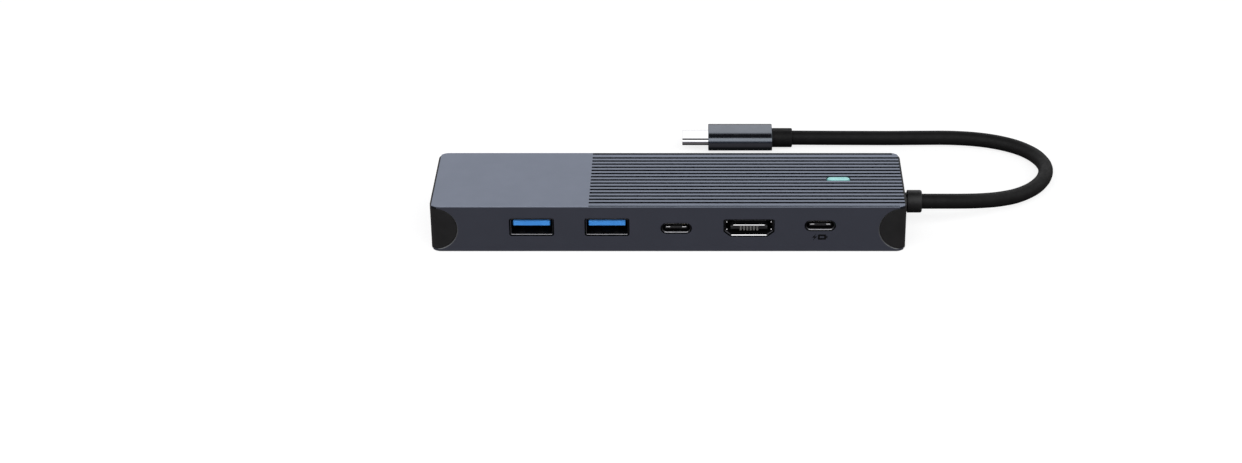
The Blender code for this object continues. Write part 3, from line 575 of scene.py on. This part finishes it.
def bar(low, high, radius):
    """A new shape that holds one bar."""
    shape = bmesh.new()
    add_bar(shape, low, high, radius)
    return shape


def ending(distance, radius, facing, steps=4):
    """Profile points that round off the end of a sweep; facing is -1 at its start, 1 at its end."""
    points = [(radius - r, distance + facing * (t - radius))
              for r, t in arc((0.0, 0.0), radius, 0, 90, steps)]
    return points if facing > 0 else points[::-1]


def temporary(shape, name):
    mesh = bpy.data.meshes.new(name)
    bmesh.ops.recalc_face_normals(shape, faces=shape.faces)
    shape.to_mesh(mesh)
    shape.free()
    obj = bpy.data.objects.new(name, mesh)
    bpy.context.scene.collection.objects.link(obj)
    return obj


def combined(body, steps):
    """The body after each (operation, tool) step, all of them bmeshes."""
    target = temporary(body, "body")
    tools = []
    for operation, tool in steps:
        cutter = temporary(tool, "tool")
        tools.append(cutter)
        step = target.modifiers.new("step", "BOOLEAN")
        step.operation = operation
        step.object = cutter
        step.solver = "EXACT"
    bpy.context.view_layer.update()
    evaluated = target.evaluated_get(bpy.context.evaluated_depsgraph_get())
    mesh = bpy.data.meshes.new_from_object(evaluated)
    result = bmesh.new()
    result.from_mesh(mesh)
    for obj in [target, *tools]:
        bpy.data.objects.remove(obj, do_unlink=True)
    bmesh.ops.remove_doubles(result, verts=result.verts, dist=0.0005)
    return result


def piece(name, shape, materials, slot, *nodes, choose=None):
    """Makes a bmesh a piece of the dock that stands for the CAD nodes named. Choose picks a
    material by a face's centre and normal."""
    bmesh.ops.recalc_face_normals(shape, faces=shape.faces)
    if choose:
        for face in shape.faces:
            face.material_index = choose(face.calc_center_median(), face.normal)
    bmesh.ops.scale(shape, vec=(METRES,) * 3, verts=shape.verts)
    mesh = bpy.data.meshes.new(name)
    shape.to_mesh(mesh)
    shape.free()
    for material in materials:
        mesh.materials.append(material)
    mesh.shade_smooth()
    mesh.set_sharp_from_angle(angle=SHARP_ANGLE)
    obj = bpy.data.objects.new(name, mesh)
    bpy.context.scene.collection.objects.link(obj)
    even = obj.modifiers.new("even_normals", "WEIGHTED_NORMAL")
    even.keep_sharp = True
    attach(obj, "root")
    if nodes:
        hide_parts(*nodes)
    return obj


# ------------ the lead and its plug

LEAD_RADIUS = 2.36
LEAD_POINT_SPACING = 1.0
PRESS_GAP = 0.02  # between the lead and what grips it
LEAD_ROUTE = [
    (62.0, 0.00, 7.60), (70.0, 0.00, 7.60), (78.2, 0.00, 7.60), (84.8, 0.42, 7.39),
    (91.2, 2.08, 6.56), (97.4, 5.08, 5.21), (103.6, 9.15, 3.70), (109.75, 13.80, 2.68),
    (115.35, 19.40, 2.42), (119.2, 26.40, 2.42), (120.45, 34.10, 2.42), (118.45, 41.60, 2.42),
    (113.85, 47.70, 2.42), (107.35, 51.96, 2.42), (99.85, 54.46, 2.42), (91.5, 55.50, 2.42),
    (82.0, 55.50, 2.42), (72.0, 55.36, 2.42), (62.0, 55.20, 2.52), (52.0, 54.80, 2.75),
    (44.0, 54.45, 2.97), (34.6, 54.50, 3.00),
]
RELIEF_LOW, RELIEF_HIGH = box("cable_strain_relief")
LEAD_AXIS = (0.0, SLEEVE.z / 2)

PLUG_AXIS = (middle("plug_shell").y, middle("plug_shell").z)
PLUG_SHELL = box("plug_shell")
PLUG_SHELL[1].z += 0.3  # the shell's top is that much too low in the CAD
PLUG_SHELL_AXIS = (PLUG_AXIS[0], (PLUG_SHELL[0].z + PLUG_SHELL[1].z) / 2)
PLUG_FLAT = 4.0  # width of the flat part of the shell's top
PLUG_WALL = 0.7
NOSE_LOW, NOSE_HIGH = box("plug_nose")
NOSE_SIZE = (NOSE_HIGH.y - NOSE_LOW.y, NOSE_HIGH.z - NOSE_LOW.z)
NOSE_SKIN = 0.22


def smooth_path(route, spacing):
    """Points about a set distance apart on the smooth curve through a route (Catmull-Rom)."""
    points = [Vector(point) for point in route]
    ends = [points[0] * 2 - points[1]] + points + [points[-1] * 2 - points[-2]]
    fine = []
    for before, here, there, after in zip(ends, ends[1:], ends[2:], ends[3:]):
        steps = max(2, round((there - here).length / spacing))
        for step in range(steps):
            t = step / steps
            fine.append(0.5 * (
                2 * here
                + (there - before) * t
                + (2 * before - 5 * here + 4 * there - after) * t ** 2
                + (3 * here - before - 3 * there + after) * t ** 3
            ))
    fine.append(points[-1])
    return fine


def make_lead():
    curve = bpy.data.curves.new("lead", "CURVE")
    curve.dimensions = "3D"
    curve.bevel_depth = LEAD_RADIUS * METRES
    curve.bevel_resolution = 8
    curve.use_fill_caps = True
    points = smooth_path(LEAD_ROUTE, LEAD_POINT_SPACING)
    spline = curve.splines.new("POLY")
    spline.points.add(len(points) - 1)
    for point, place in zip(spline.points, points):
        point.co = (*(place * METRES), 1.0)
    spline.use_smooth = True
    curve.materials.append(RUBBER)
    lead = bpy.data.objects.new("lead", curve)
    bpy.context.scene.collection.objects.link(lead)
    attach(lead, "root")
    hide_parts("cable")
    return lead


def make_strain_relief():
    """A round bush with a soft outer edge, on a neck and flange held by the cap."""
    bore = LEAD_RADIUS + PRESS_GAP
    radius = 3.5
    collar_start = CAP_END + 1.4
    neck_radius = 2.75
    flange_end = CAP_END - 2.3
    flange_radius = 3.8
    soft = 0.45
    root_soft = 0.15
    profile = [
        (bore, RELIEF_HIGH.x), *arc((radius - soft, RELIEF_HIGH.x - soft), soft, 90, 0, 6),
        *arc((radius - root_soft, collar_start + root_soft), root_soft, 0, -90, 3),
        (neck_radius, collar_start), (neck_radius, flange_end),
        (flange_radius, flange_end), (flange_radius, RELIEF_LOW.x), (bore, RELIEF_LOW.x),
    ]
    shape = bmesh.new()
    add_turn(shape, profile, LEAD_AXIS)
    return piece("strain_relief", shape, [BUSH_RUBBER], "lead_jacket", "cable_strain_relief")


def make_plug_boot():
    low, high = box("plug_boot")
    low.x = box("plug_shell")[1].x + PRESS_GAP
    outline = stadium(PLUG_AXIS, (high.y - low.y, high.z - low.z), 10)
    bore = (high.z - low.z) / 2 - LEAD_RADIUS - PRESS_GAP
    profile = ending(low.x, 0.12, -1) + ending(high.x, 0.4, 1) + [(bore, high.x), (bore, low.x)]
    return piece("plug_boot_sleeve", swept(outline, profile, along_x, closed=True), [RUBBER],
                 "lead_jacket", "plug_boot")


def make_plug_shell():
    low, high = PLUG_SHELL
    outline = flattened(PLUG_SHELL_AXIS, (high.y - low.y, high.z - low.z), PLUG_FLAT, 16)
    profile = (ending(low.x, 0.22, -1) + ending(high.x, 0.22, 1)
               + [(PLUG_WALL, high.x), (PLUG_WALL, low.x + 0.05)])
    return piece("plug_sleeve", swept(outline, profile, along_x, closed=True),
                 [PLUG_ALUMINIUM], "anodised_aluminium", "plug_shell")


def make_plug_core():
    """The filling of the plug's shell, with pockets for the nose and the small board."""
    low, high = PLUG_SHELL
    filler = flattened(PLUG_SHELL_AXIS, (high.y - low.y - 2 * PLUG_WALL - 0.1,
                                         high.z - low.z - 2 * PLUG_WALL - 0.1), PLUG_FLAT, 16)
    end = box("plug_core")[1].x
    shape = swept(filler, ending(low.x + 0.3, 0.1, -1) + [(0.0, end)], along_x)
    clear = 0.12
    nose = stadium(PLUG_AXIS, (NOSE_SIZE[0] + clear, NOSE_SIZE[1] + clear), 16)
    pocket = swept(nose, [(0.0, low.x - BEYOND), (0.0, NOSE_HIGH.x + 0.3)], along_x)
    board_low, board_high = box("plug_board")
    slack = 0.3
    board = bar((board_low.x - 0.9, board_low.y - slack, board_low.z - slack),
                (board_high.x + slack, board_high.y + slack, board_high.z + slack), 0.05)
    core = combined(shape, [("DIFFERENCE", pocket), ("DIFFERENCE", board)])
    return piece("plug_filler", core, [BLACK_INSULATOR], "black_insulator", "plug_core")


def make_plug_nose():
    start = NOSE_LOW.x
    profile = (ending(start, NOSE_SKIN / 2, -1, 3)[1:]
               + [(0.0, NOSE_HIGH.x), (NOSE_SKIN, NOSE_HIGH.x), (NOSE_SKIN, start + 0.16),
                  (NOSE_SKIN * 0.75, start + 0.03)])
    shape = swept(stadium(PLUG_AXIS, NOSE_SIZE, 12), profile, along_x, closed=True)
    return piece("plug_tip", shape, [BRIGHT_STEEL], "bright_steel", "plug_nose")


def make_plug_insert():
    """The lining of the nose, with a row of gold contacts above and below its slot."""
    low, high = box("plug_insert")
    clear = 2 * NOSE_SKIN + 0.06
    lining = stadium(PLUG_AXIS, (NOSE_SIZE[0] - clear, NOSE_SIZE[1] - clear), 12)
    shape = swept(lining, ending(low.x, 0.08, -1) + [(0.0, high.x)], along_x)
    slot = swept(rounded_box(PLUG_AXIS, (6.7, 1.0), 0.25, 4),
                 [(0.0, low.x - BEYOND), (0.0, 12.0)], along_x)
    body = combined(shape, [("DIFFERENCE", slot)])
    first_x = NOSE_LOW.x + 1.4
    last_x = 11.5
    half_width = 0.13
    count = 12
    pitch = 0.5
    for index in range(count):
        y = PLUG_AXIS[0] + (index - (count - 1) / 2) * pitch
        for side in (-1, 1):
            level = PLUG_AXIS[1] + side * 0.46
            add_bar(body, (first_x, y - half_width, level),
                    (last_x, y + half_width, level - side * 0.12), 0.03, along_x)

    def choose(place, normal):
        inside = abs(place.z - PLUG_AXIS[1]) < 0.475 and abs(place.y - PLUG_AXIS[0]) < 3.1
        return int(inside and first_x - 0.1 < place.x < last_x + 0.1)

    return piece("plug_tip_lining", body, [BLACK_INSULATOR, GOLD], "black_insulator",
                 "plug_insert", choose=choose)


lead = make_lead()
relief = make_strain_relief()
plug = [make_plug_boot(), make_plug_shell(), make_plug_core(), make_plug_nose(),
        make_plug_insert()]


# ------------ sleeve

def hdmi_corners(centre, size):
    """A rectangle whose two lower corners are cut off at a slant, anticlockwise."""
    across = size[0] / 2
    up = size[1] / 2
    slant_across = 2.1
    slant_up = 1.65
    shape = (
        (across, up), (-across, up), (-across, slant_up - up),
        (slant_across - across, -up), (across - slant_across, -up), (across, slant_up - up),
    )
    return [(centre[0] + u, centre[1] + v) for u, v in shape]


def port_outlines(grow):
    """The outline of each connector, made bigger all round."""
    made = []
    for number in (1, 2):
        name = f"usb_a_shell_{number}"
        made.append(rounded_box(flat_middle(name), flat_size(name, grow), USB_A_CORNER + grow, 5))
    for number in (1, 2):
        name = f"usb_c_shell_{number}"
        made.append(stadium(flat_middle(name), flat_size(name, grow), 10))
    corners = hdmi_corners(flat_middle("hdmi_shell"), flat_size("hdmi_shell", grow))
    made.append(rounded_polygon(corners, HDMI_CORNER + grow))
    return made


def flat_middle(node_name):
    centre = middle(node_name)
    return (centre.x, centre.z)


def flat_size(node_name, grow=0.0):
    size = extent(node_name)
    return (size.x + 2 * grow, size.z + 2 * grow)


def add_groove(shape, y, width, end=CAP_END + BEYOND):
    """Cuts a square groove with broken edges, from the smooth part of the top to its end."""
    lip = 0.02
    half = width / 2
    right = [(half, -GROOVE_DEPTH), (half, -lip), (half + 2 * lip, lip), (half + 2 * lip, BEYOND)]
    section = right + [(-u, v) for u, v in reversed(right)]
    add_skin(shape, [[(x, y + u, SLEEVE.z + v) for u, v in section]
                     for x in (GROOVE_START_X, end)])


def end_cutter():
    """Cuts the sleeve off just before the flanges of the caps."""
    shape = bmesh.new()
    across = SLEEVE.y + BEYOND
    for side in (-1, 1):
        add_bar(shape, (side * SLEEVE.x, -across, -BEYOND),
                (side * (CAP_END + BEYOND), across, SLEEVE.z + BEYOND), 0.03)
    return shape


def tunnel_cutter():
    inside = rounded_box((0.0, SLEEVE.z / 2), (2 * (SLEEVE.y - WALL), SLEEVE.z - 2 * WALL), 0.6, 4)
    return swept(inside, [(0.0, -CAP_END - BEYOND), (0.0, CAP_END + BEYOND)], along_x)


def notch_cutter():
    """Cuts the D-shaped notches for the caps' lobes, each with a slanted edge."""
    shape = bmesh.new()
    for side in (-1, 1):
        for face in (-1, 1):
            add_sweep(shape, notch(side, NOTCH_RADIUS), [
                (0.0, face * (SLEEVE.y - NOTCH_DEPTH)), (0.0, face * (SLEEVE.y - NOTCH_CHAMFER)),
                (-NOTCH_CHAMFER * 1.2, face * (SLEEVE.y + NOTCH_CHAMFER * 0.2))], along_y)
    return shape


def opening_cutter():
    shape = bmesh.new()
    for outline in port_outlines(PORT_OPENING):
        add_sweep(shape, outline, [
            (0.0, -SLEEVE.y + WALL + 0.3), (0.0, -SLEEVE.y + PORT_CHAMFER),
            (-PORT_CHAMFER * 1.5, -SLEEVE.y - PORT_CHAMFER * 0.5)], along_y)
    return shape


def groove_cutter():
    shape = bmesh.new()
    for index in range(-GROOVES_EACH_WAY, GROOVES_EACH_WAY + 1):
        add_groove(shape, GROOVE_MIDDLE_Y + index * GROOVE_PITCH, GROOVE_WIDTH)
    add_groove(shape, BACK_GROOVE_Y, GROOVE_WIDTH, OUTER_GROOVE_END_X)
    add_groove(shape, EDGE_GROOVE_Y, EDGE_GROOVE_WIDTH, OUTER_GROOVE_END_X)
    return shape


def light_cutter():
    place = middle("light_pipe")
    edge = 0.03
    profile = [(0.0, SLEEVE.z - WALL - BEYOND), (0.0, SLEEVE.z - edge),
               (-2 * edge, SLEEVE.z + edge)]
    return swept(stadium((place.x, place.y), LIGHT_SLOT, 10), profile, along_z)


def sleeve_finish(place, normal):
    """Which of the sleeve's materials a face has: 1 on the rims, 2 round the notches, 3, a near-black
    painted shade, in the grooves and on the walls of the openings."""
    slanted = max(abs(normal.x), abs(normal.y), abs(normal.z)) < 0.97
    level = abs(place.z - SLEEVE.z / 2)
    at_face = abs(place.y) > SLEEVE.y - EDGE_CHAMFER
    rim = level > SLEEVE.z / 2 - EDGE_CHAMFER and abs(normal.z) > 0.5
    if slanted and rim and (at_face or abs(place.x) > SLEEVE.x - CORNER_RADIUS):
        return 1
    before_notch = NOTCH_CENTRE_X - NOTCH_RADIUS
    by_notch = abs(place.x) > before_notch - 0.5 and abs(normal.y) > 0.3
    if slanted and at_face and by_notch and not rim:
        return 2
    # The grooves and the walls of the openings get the painted shade
    in_groove = SLEEVE.z - GROOVE_DEPTH - 0.01 < place.z < SLEEVE.z - 0.05 and not at_face
    in_opening = (-SLEEVE.y < place.y < WALL - SLEEVE.y and abs(normal.y) < 0.9
                  and level < SLEEVE.z / 2 - 2 * WALL and abs(place.x) < before_notch)
    return 3 if in_groove or in_opening else 0


def make_sleeve():
    plan = rounded_box((0.0, 0.0), (2 * CAP_END, 2 * SLEEVE.y), CORNER_RADIUS, 12)
    body = swept(plan, [(EDGE_CHAMFER, 0.0), (0.0, EDGE_CHAMFER),
                        (0.0, SLEEVE.z - EDGE_CHAMFER), (EDGE_CHAMFER, SLEEVE.z)], along_z)
    cutters = (end_cutter(), tunnel_cutter(), notch_cutter(), opening_cutter(), groove_cutter(),
               light_cutter())
    shape = combined(body, [("DIFFERENCE", cutter) for cutter in cutters])
    piece("sleeve", shape, [ALUMINIUM, RIM_ALUMINIUM, CUT_ALUMINIUM, PAINTED_SHADE_ALUMINIUM],
          "anodised_aluminium", "housing", choose=sleeve_finish)


def make_end_cap(name, side):
    """A D-shaped plug: soft-edged lobes flush with the front and back, a thin flange over the
    sleeve's end and a hidden ring."""
    margin = 0.25
    soft = 0.15
    plan = rounded_box((0.0, 0.0), (2 * CAP_END, 2 * (SLEEVE.y - 0.01)), CORNER_RADIUS, 12)
    body = swept(plan, [(soft, margin), (0.0, margin + soft), (0.0, SLEEVE.z - margin - soft),
                        (soft, SLEEVE.z - margin)], along_z)

    lobes = swept(notch(side, NOTCH_RADIUS - SEAM),
                  ending(-SLEEVE.y, soft, -1) + ending(SLEEVE.y, soft, 1), along_y)
    flange_start = side * (CAP_END - CAP_FLANGE)
    beyond = SLEEVE.y + BEYOND
    waste = bar((-side * (CAP_END + BEYOND), -beyond, -BEYOND),
                (flange_start, beyond, SLEEVE.z + BEYOND), 0.02)

    inside = WALL + SEAM
    half = SLEEVE.y - NOTCH_DEPTH + SEAM
    trim_end = side * (CAP_END - CAP_FLANGE - 0.03)
    ring_start = side * RING_START_X
    trims = [("DIFFERENCE", bar((ring_start, -half, low), (trim_end, half, high), 0.02))
             for low, high in ((-BEYOND, inside), (SLEEVE.z - inside, SLEEVE.z + BEYOND))]

    ring_half = SLEEVE.y - WALL - 0.15
    ring = bar((ring_start, -ring_half, inside + 0.1),
               (side * NOTCH_CENTRE_X, ring_half, SLEEVE.z - inside - 0.1), 0.3)

    wall = 1.6
    end_wall = 2.0
    hollow = bar((ring_start - side * BEYOND, -ring_half + wall, inside + wall),
                 (side * (CAP_END - end_wall), ring_half - wall, SLEEVE.z - inside - wall), 0.3)

    steps = [("DIFFERENCE", combined(waste, [("DIFFERENCE", lobes)])), *trims, ("UNION", ring),
             ("DIFFERENCE", hollow)]
    if side > 0:
        neck = 2.8
        reach = 5.0
        hole = swept(stadium(LEAD_AXIS, (2 * neck + 0.01, 2 * neck), 12),
                     [(0.0, CAP_END - reach), (0.0, CAP_END + reach)], along_x)
        steps.append(("DIFFERENCE", hole))
    piece(name, combined(body, steps), [CAP_PLASTIC], "cap_plastic",
          "end_cap_right" if side > 0 else "end_cap_left")


make_sleeve()
make_end_cap("left_cap", -1)
make_end_cap("right_cap", 1)


# ------------ ports

def make_shell(name, outline, materials, slot, node_name, bevel=0.2, highlight_left=False):
    """A drawn metal shell, open at both ends, whose mouth is bevelled on the inside. The first
    material is a painted highlight on the lip, on its lower side and perhaps its left; the second is
    painted shade on every other face."""
    low, high = (corner.y for corner in box(node_name))
    edge = 0.04
    profile = [(0.0, high), (0.0, low + edge), (edge, low),
               (SHELL_WALL - bevel, low), (SHELL_WALL, low + bevel), (SHELL_WALL, high)]
    shape = swept(outline, profile, along_y, closed=True)

    # The lip's upward faces, and perhaps its left ones, get the painted highlight; every other face
    # gets painted shade
    def choose(place, normal):
        on_lip = place.y < low + bevel and normal.y > -0.95
        lower = normal.z > max(0.35, 2 * abs(normal.x))
        return 0 if on_lip and (lower or (highlight_left and normal.x > 0.5)) else 1

    return piece(name, shape, materials, slot, node_name, choose=choose)


def make_usb_a_port(number):
    shell = f"usb_a_shell_{number}"
    low, high = box(shell)
    mid_x, mid_z = flat_middle(shell)
    # Painted highlight on the lip's lower and left faces, painted shade on the rest of the shell
    make_shell(f"usb_a_frame_{number}", rounded_box((mid_x, mid_z), flat_size(shell), USB_A_CORNER, 5),
               [PAINTED_HIGHLIGHT_LIP_STEEL, PAINTED_SHADE_SHELL_STEEL], "bright_steel", shell, bevel=0.12, highlight_left=True)

    inner = flat_size(shell, -SHELL_WALL - SHELL_CLEAR)
    tongue_front = low.y + 0.7
    tongue_width = 11.1
    tongue_thickness = 1.7
    tongue_top = high.z - SHELL_WALL - 0.72
    body = bar((mid_x - inner[0] / 2, high.y - BASE_FRONT, mid_z - inner[1] / 2),
               (mid_x + inner[0] / 2, high.y - BASE_BACK, mid_z + inner[1] / 2), 0.1)
    tongue = bar((mid_x - tongue_width / 2, tongue_front, tongue_top - tongue_thickness),
                 (mid_x + tongue_width / 2, high.y - TONGUE_ROOT, tongue_top), 0.16)
    piece(f"usb_a_tongue_{number}", combined(body, [("UNION", tongue)]), [BLUE_PLASTIC],
          "blue_plastic", f"usb_a_insulator_{number}")

    contacts = bmesh.new()
    under = tongue_top - tongue_thickness
    add_row(contacts, mid_x, 5, 2.0, 0.3, (tongue_front + 0.5, tongue_front + 1.7),
            (under - 0.05, under - 0.01), 0.015)
    add_row(contacts, mid_x, 4, 2.3, 0.45, (tongue_front + 3.2, tongue_front + 7.6),
            (under - 0.3, under - 0.01), 0.04)
    piece(f"usb_a_contacts_{number}", contacts, [GOLD], "brass")

    springs = bmesh.new()
    floor = low.z + SHELL_WALL
    for side in (-1, 1):
        x = mid_x + side * 2.9
        add_spring(springs, x, 1.5, low.y + 1.2, low.y + 6.2, floor, 0.42)
    # The springs get the shell's painted shade
    piece(f"usb_a_springs_{number}", springs, [PAINTED_SHADE_SHELL_STEEL], "bright_steel")


def add_spring(shape, x, width, start, end, level, rise):
    """A leaf of sheet metal that bows up from a surface and comes back down to it."""
    thickness = 0.16
    steps = 12
    rings = []
    for step in range(steps + 1):
        t = step / steps
        lift = rise * math.sin(math.pi * t) ** 1.5
        y = start + (end - start) * t
        z = level + 0.01 + lift
        rings.append([(x - width / 2, y, z), (x + width / 2, y, z),
                      (x + width / 2, y, z + thickness), (x - width / 2, y, z + thickness)])
    add_skin(shape, rings)


def make_usb_c_port(number):
    shell = f"usb_c_shell_{number}"
    low, high = box(shell)
    centre = mid_x, mid_z = flat_middle(shell)
    # Painted highlight on the lip's lower faces, painted shade on the rest of the shell
    make_shell(f"usb_c_frame_{number}", stadium(centre, flat_size(shell), 10),
               [PAINTED_HIGHLIGHT_LIP_STEEL, PAINTED_SHADE_STEEL], "dark_steel", shell)

    tongue_front = low.y + 0.45
    half_width = 3.35
    half_thickness = 0.35
    body = swept(stadium(centre, flat_size(shell, -SHELL_WALL - SHELL_CLEAR), 10),
                 [(0.0, high.y - BASE_FRONT), (0.0, high.y - BASE_BACK)], along_y)
    tongue = bar((mid_x - half_width, tongue_front, mid_z - half_thickness),
                 (mid_x + half_width, high.y - TONGUE_ROOT, mid_z + half_thickness), 0.12)
    piece(f"usb_c_tongue_{number}", combined(body, [("UNION", tongue)]), [BLACK_INSULATOR],
          "black_insulator", f"usb_c_insulator_{number}")

    contacts = bmesh.new()
    for side in (-1, 1):
        surface = mid_z + side * half_thickness
        add_row(contacts, mid_x, 12, 0.5, 0.13, (tongue_front + 1.3, tongue_front + 3.4),
                (surface + side * 0.005, surface + side * 0.05), 0.012)
    piece(f"usb_c_contacts_{number}", contacts, [GOLD], "brass")

    plates = bmesh.new()
    for side in (-1, 1):
        x = mid_x + side * 2.4
        add_ground_plate(plates, x - 0.6, x + 0.6, tongue_front - 0.04,
                         mid_z + half_thickness - 0.06, 0.07)
    piece(f"usb_c_ground_plates_{number}", plates, [LIP_STEEL], "dark_steel")


def add_ground_plate(shape, left, right, front, top, slope):
    """A steel plate bent over the front edge of a tongue, with a slanted face."""
    skin = 0.06
    section = [(front - skin, top - slope - 0.1), (front - skin, top - slope),
               (front + slope, top + skin), (front + 0.9, top + skin), (front + 0.9, top + 0.01),
               (front + slope, top + 0.01), (front - 0.01, top - slope - 0.02),
               (front - 0.01, top - slope - 0.1)]
    add_skin(shape, [[(x, y, z) for y, z in section] for x in (left, right)])


def make_hdmi_port():
    low, high = box("hdmi_shell")
    centre = mid_x, mid_z = flat_middle("hdmi_shell")
    size = flat_size("hdmi_shell")
    outline = rounded_polygon(hdmi_corners(centre, size), HDMI_CORNER)
    # Bright steel as a painted highlight on the lip's lower faces, painted shade on the rest of the
    # shell
    make_shell("hdmi_frame", outline, [BRIGHT_STEEL, PAINTED_SHADE_STEEL], "dark_steel", "hdmi_shell")

    tongue_front = low.y + 0.7
    half_width = 5.6
    top = mid_z + 0.65
    bottom = mid_z - 0.95
    slope = 0.3
    inset = SHELL_WALL + SHELL_CLEAR
    body = swept(outline, [(inset, high.y - BASE_FRONT), (inset, high.y - BASE_BACK)], along_y)
    right = [(half_width, bottom), (half_width, top - 2 * slope), (half_width - 3 * slope, top)]
    corners = [(mid_x + u, z) for u, z in right] + [(mid_x - u, z) for u, z in right[::-1]]
    profile = [(slope, tongue_front), (0.0, tongue_front + slope), (0.0, high.y - TONGUE_ROOT)]
    tongue = swept(rounded_polygon(corners, 0.08, 3), profile, along_y)
    piece("hdmi_tongue", combined(body, [("UNION", tongue)]), [BLACK_INSULATOR],
          "black_insulator", "hdmi_insulator")

    plate = bmesh.new()
    reach = half_width - 3 * slope
    add_ground_plate(plate, mid_x - reach, mid_x + reach, tongue_front - 0.06, top, 0.08)
    piece("hdmi_ground_plate", plate, [BRIGHT_STEEL], "dark_steel")

    contacts = bmesh.new()
    for row, count in ((-1, 10), (1, 9)):
        surface = bottom if row < 0 else top
        add_row(contacts, mid_x, count, 1.0, 0.22, (tongue_front + 2.7, tongue_front + 7.0),
                (surface + row * 0.01, surface + row * 0.09), 0.02)
    add_row(contacts, mid_x, 6, 1.0, 0.27, (tongue_front - 0.06, tongue_front - 0.01),
            (bottom - 0.25, top - 0.3), 0.02)
    piece("hdmi_contacts", contacts, [DULL_CONTACT], "brass")

    springs = bmesh.new()
    for side in (-1, 1):
        wall_x = mid_x + side * (size[0] / 2 - SHELL_WALL)
        for level in (1.75, -0.75):
            add_side_spring(springs, wall_x, -side, low.y + 0.25, mid_z + level)
            bmesh.ops.create_uvsphere(
                springs, u_segments=16, v_segments=12, radius=0.3,
                matrix=Matrix.Translation((wall_x - side * 0.42, low.y + 0.5, mid_z + level)))
    piece("hdmi_side_springs", springs, [BRIGHT_STEEL], "dark_steel")


def add_side_spring(shape, wall_x, inward, start, level):
    """A short tab of spring steel that curls in from a side wall behind the mouth."""
    thickness = 0.14
    half = 0.35
    steps = 10
    rings = []
    for step in range(steps + 1):
        t = step / steps
        reach = 0.02 + 0.4 * math.sin(math.pi * (0.18 + 0.82 * t)) ** 1.3
        y = start + 0.6 + 3.0 * t
        x = wall_x + inward * reach
        rings.append([(x, y, level - half), (x + inward * thickness, y, level - half * 0.8),
                      (x + inward * thickness, y, level + half * 0.8), (x, y, level + half)])
    add_skin(shape, rings)


for number in (1, 2):
    make_usb_a_port(number)
    make_usb_c_port(number)
make_hdmi_port()


# ------------ light and printed mark

def make_light():
    """A clear pipe with a slightly domed, glowing top in a darker rim."""
    low, high = box("light_pipe")
    centre = ((low.x + high.x) / 2, (low.y + high.y) / 2)
    top = SLEEVE.z - 0.06
    flange_top = SLEEVE.z - WALL - SEAM
    flange = stadium(centre, (high.x - low.x, high.y - low.y), 10)
    flange_inset = (high.y - low.y - LIGHT_SLOT[1] + 2 * SEAM) / 2
    flange_bottom = flange_top - 1.0
    profile = [(flange_inset + 0.9, flange_bottom - 0.001), (0.3, flange_bottom),
               (0.0, flange_bottom + 0.2), (0.0, flange_top - 0.1), (0.1, flange_top),
               (flange_inset, flange_top + 0.001), (flange_inset, top - 0.14),
               (flange_inset + 0.14, top - 0.03), (flange_inset + 0.3, top + 0.01),
               (flange_inset + 0.7, top + 0.04), (flange_inset + 1.1, top + 0.05)]
    shape = swept(flange, profile, along_z)
    stem = bmesh.new()
    stem_top = flange_top - 0.5
    stem_radius = 1.2
    bmesh.ops.create_cone(stem, cap_ends=True, segments=TURN_STEPS, radius1=stem_radius,
                          radius2=stem_radius, depth=stem_top - low.z,
                          matrix=Matrix.Translation((*centre, (stem_top + low.z) / 2)))
    body = combined(shape, [("UNION", stem)])
    piece("status_lens", body, [GLOW_RIM, GLOW], "light_plastic", "light_pipe",
          choose=lambda place, normal: int(place.z > top + 0.005 and normal.z > 0.5))


def make_charge_mark():
    """A bolt beside a battery, printed under the right-hand USB-C port."""
    centre = flat_middle("usb_c_shell_2")
    level = centre[1] - 3.85  # middle of the mark
    ink = (-SLEEVE.y - 0.015, -SLEEVE.y - 0.001)
    stroke = 0.58
    shape = bmesh.new()
    bolt = [(0.5, 1.2), (-0.75, -0.2), (0.0, -0.2), (-0.5, -1.2), (0.75, 0.2), (0.0, 0.2)]
    add_skin(shape, [[(centre[0] - 1.65 + u, y, level + v) for u, v in bolt] for y in ink])
    battery = rounded_box((centre[0] + 0.6, level), (2.5, 1.8), 0.25, 3)
    add_sweep(shape, battery, [(0.0, ink[0]), (0.0, ink[1]), (stroke, ink[1]), (stroke, ink[0])],
              along_y, closed=True)
    add_bar(shape, (centre[0] + 1.93, ink[0], level - 0.4), (centre[0] + 2.25, ink[1], level + 0.4),
            0.005)
    piece("charge_mark", shape, [INK], "black_insulator")


make_light()
make_charge_mark()


# ------------ CAD nodes that stay

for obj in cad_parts.values():
    for material_slot in obj.material_slots:
        if not obj.hide_render:
            material_slot.material = CAD_FINISHES[material_slot.material.name.split(".")[0]]
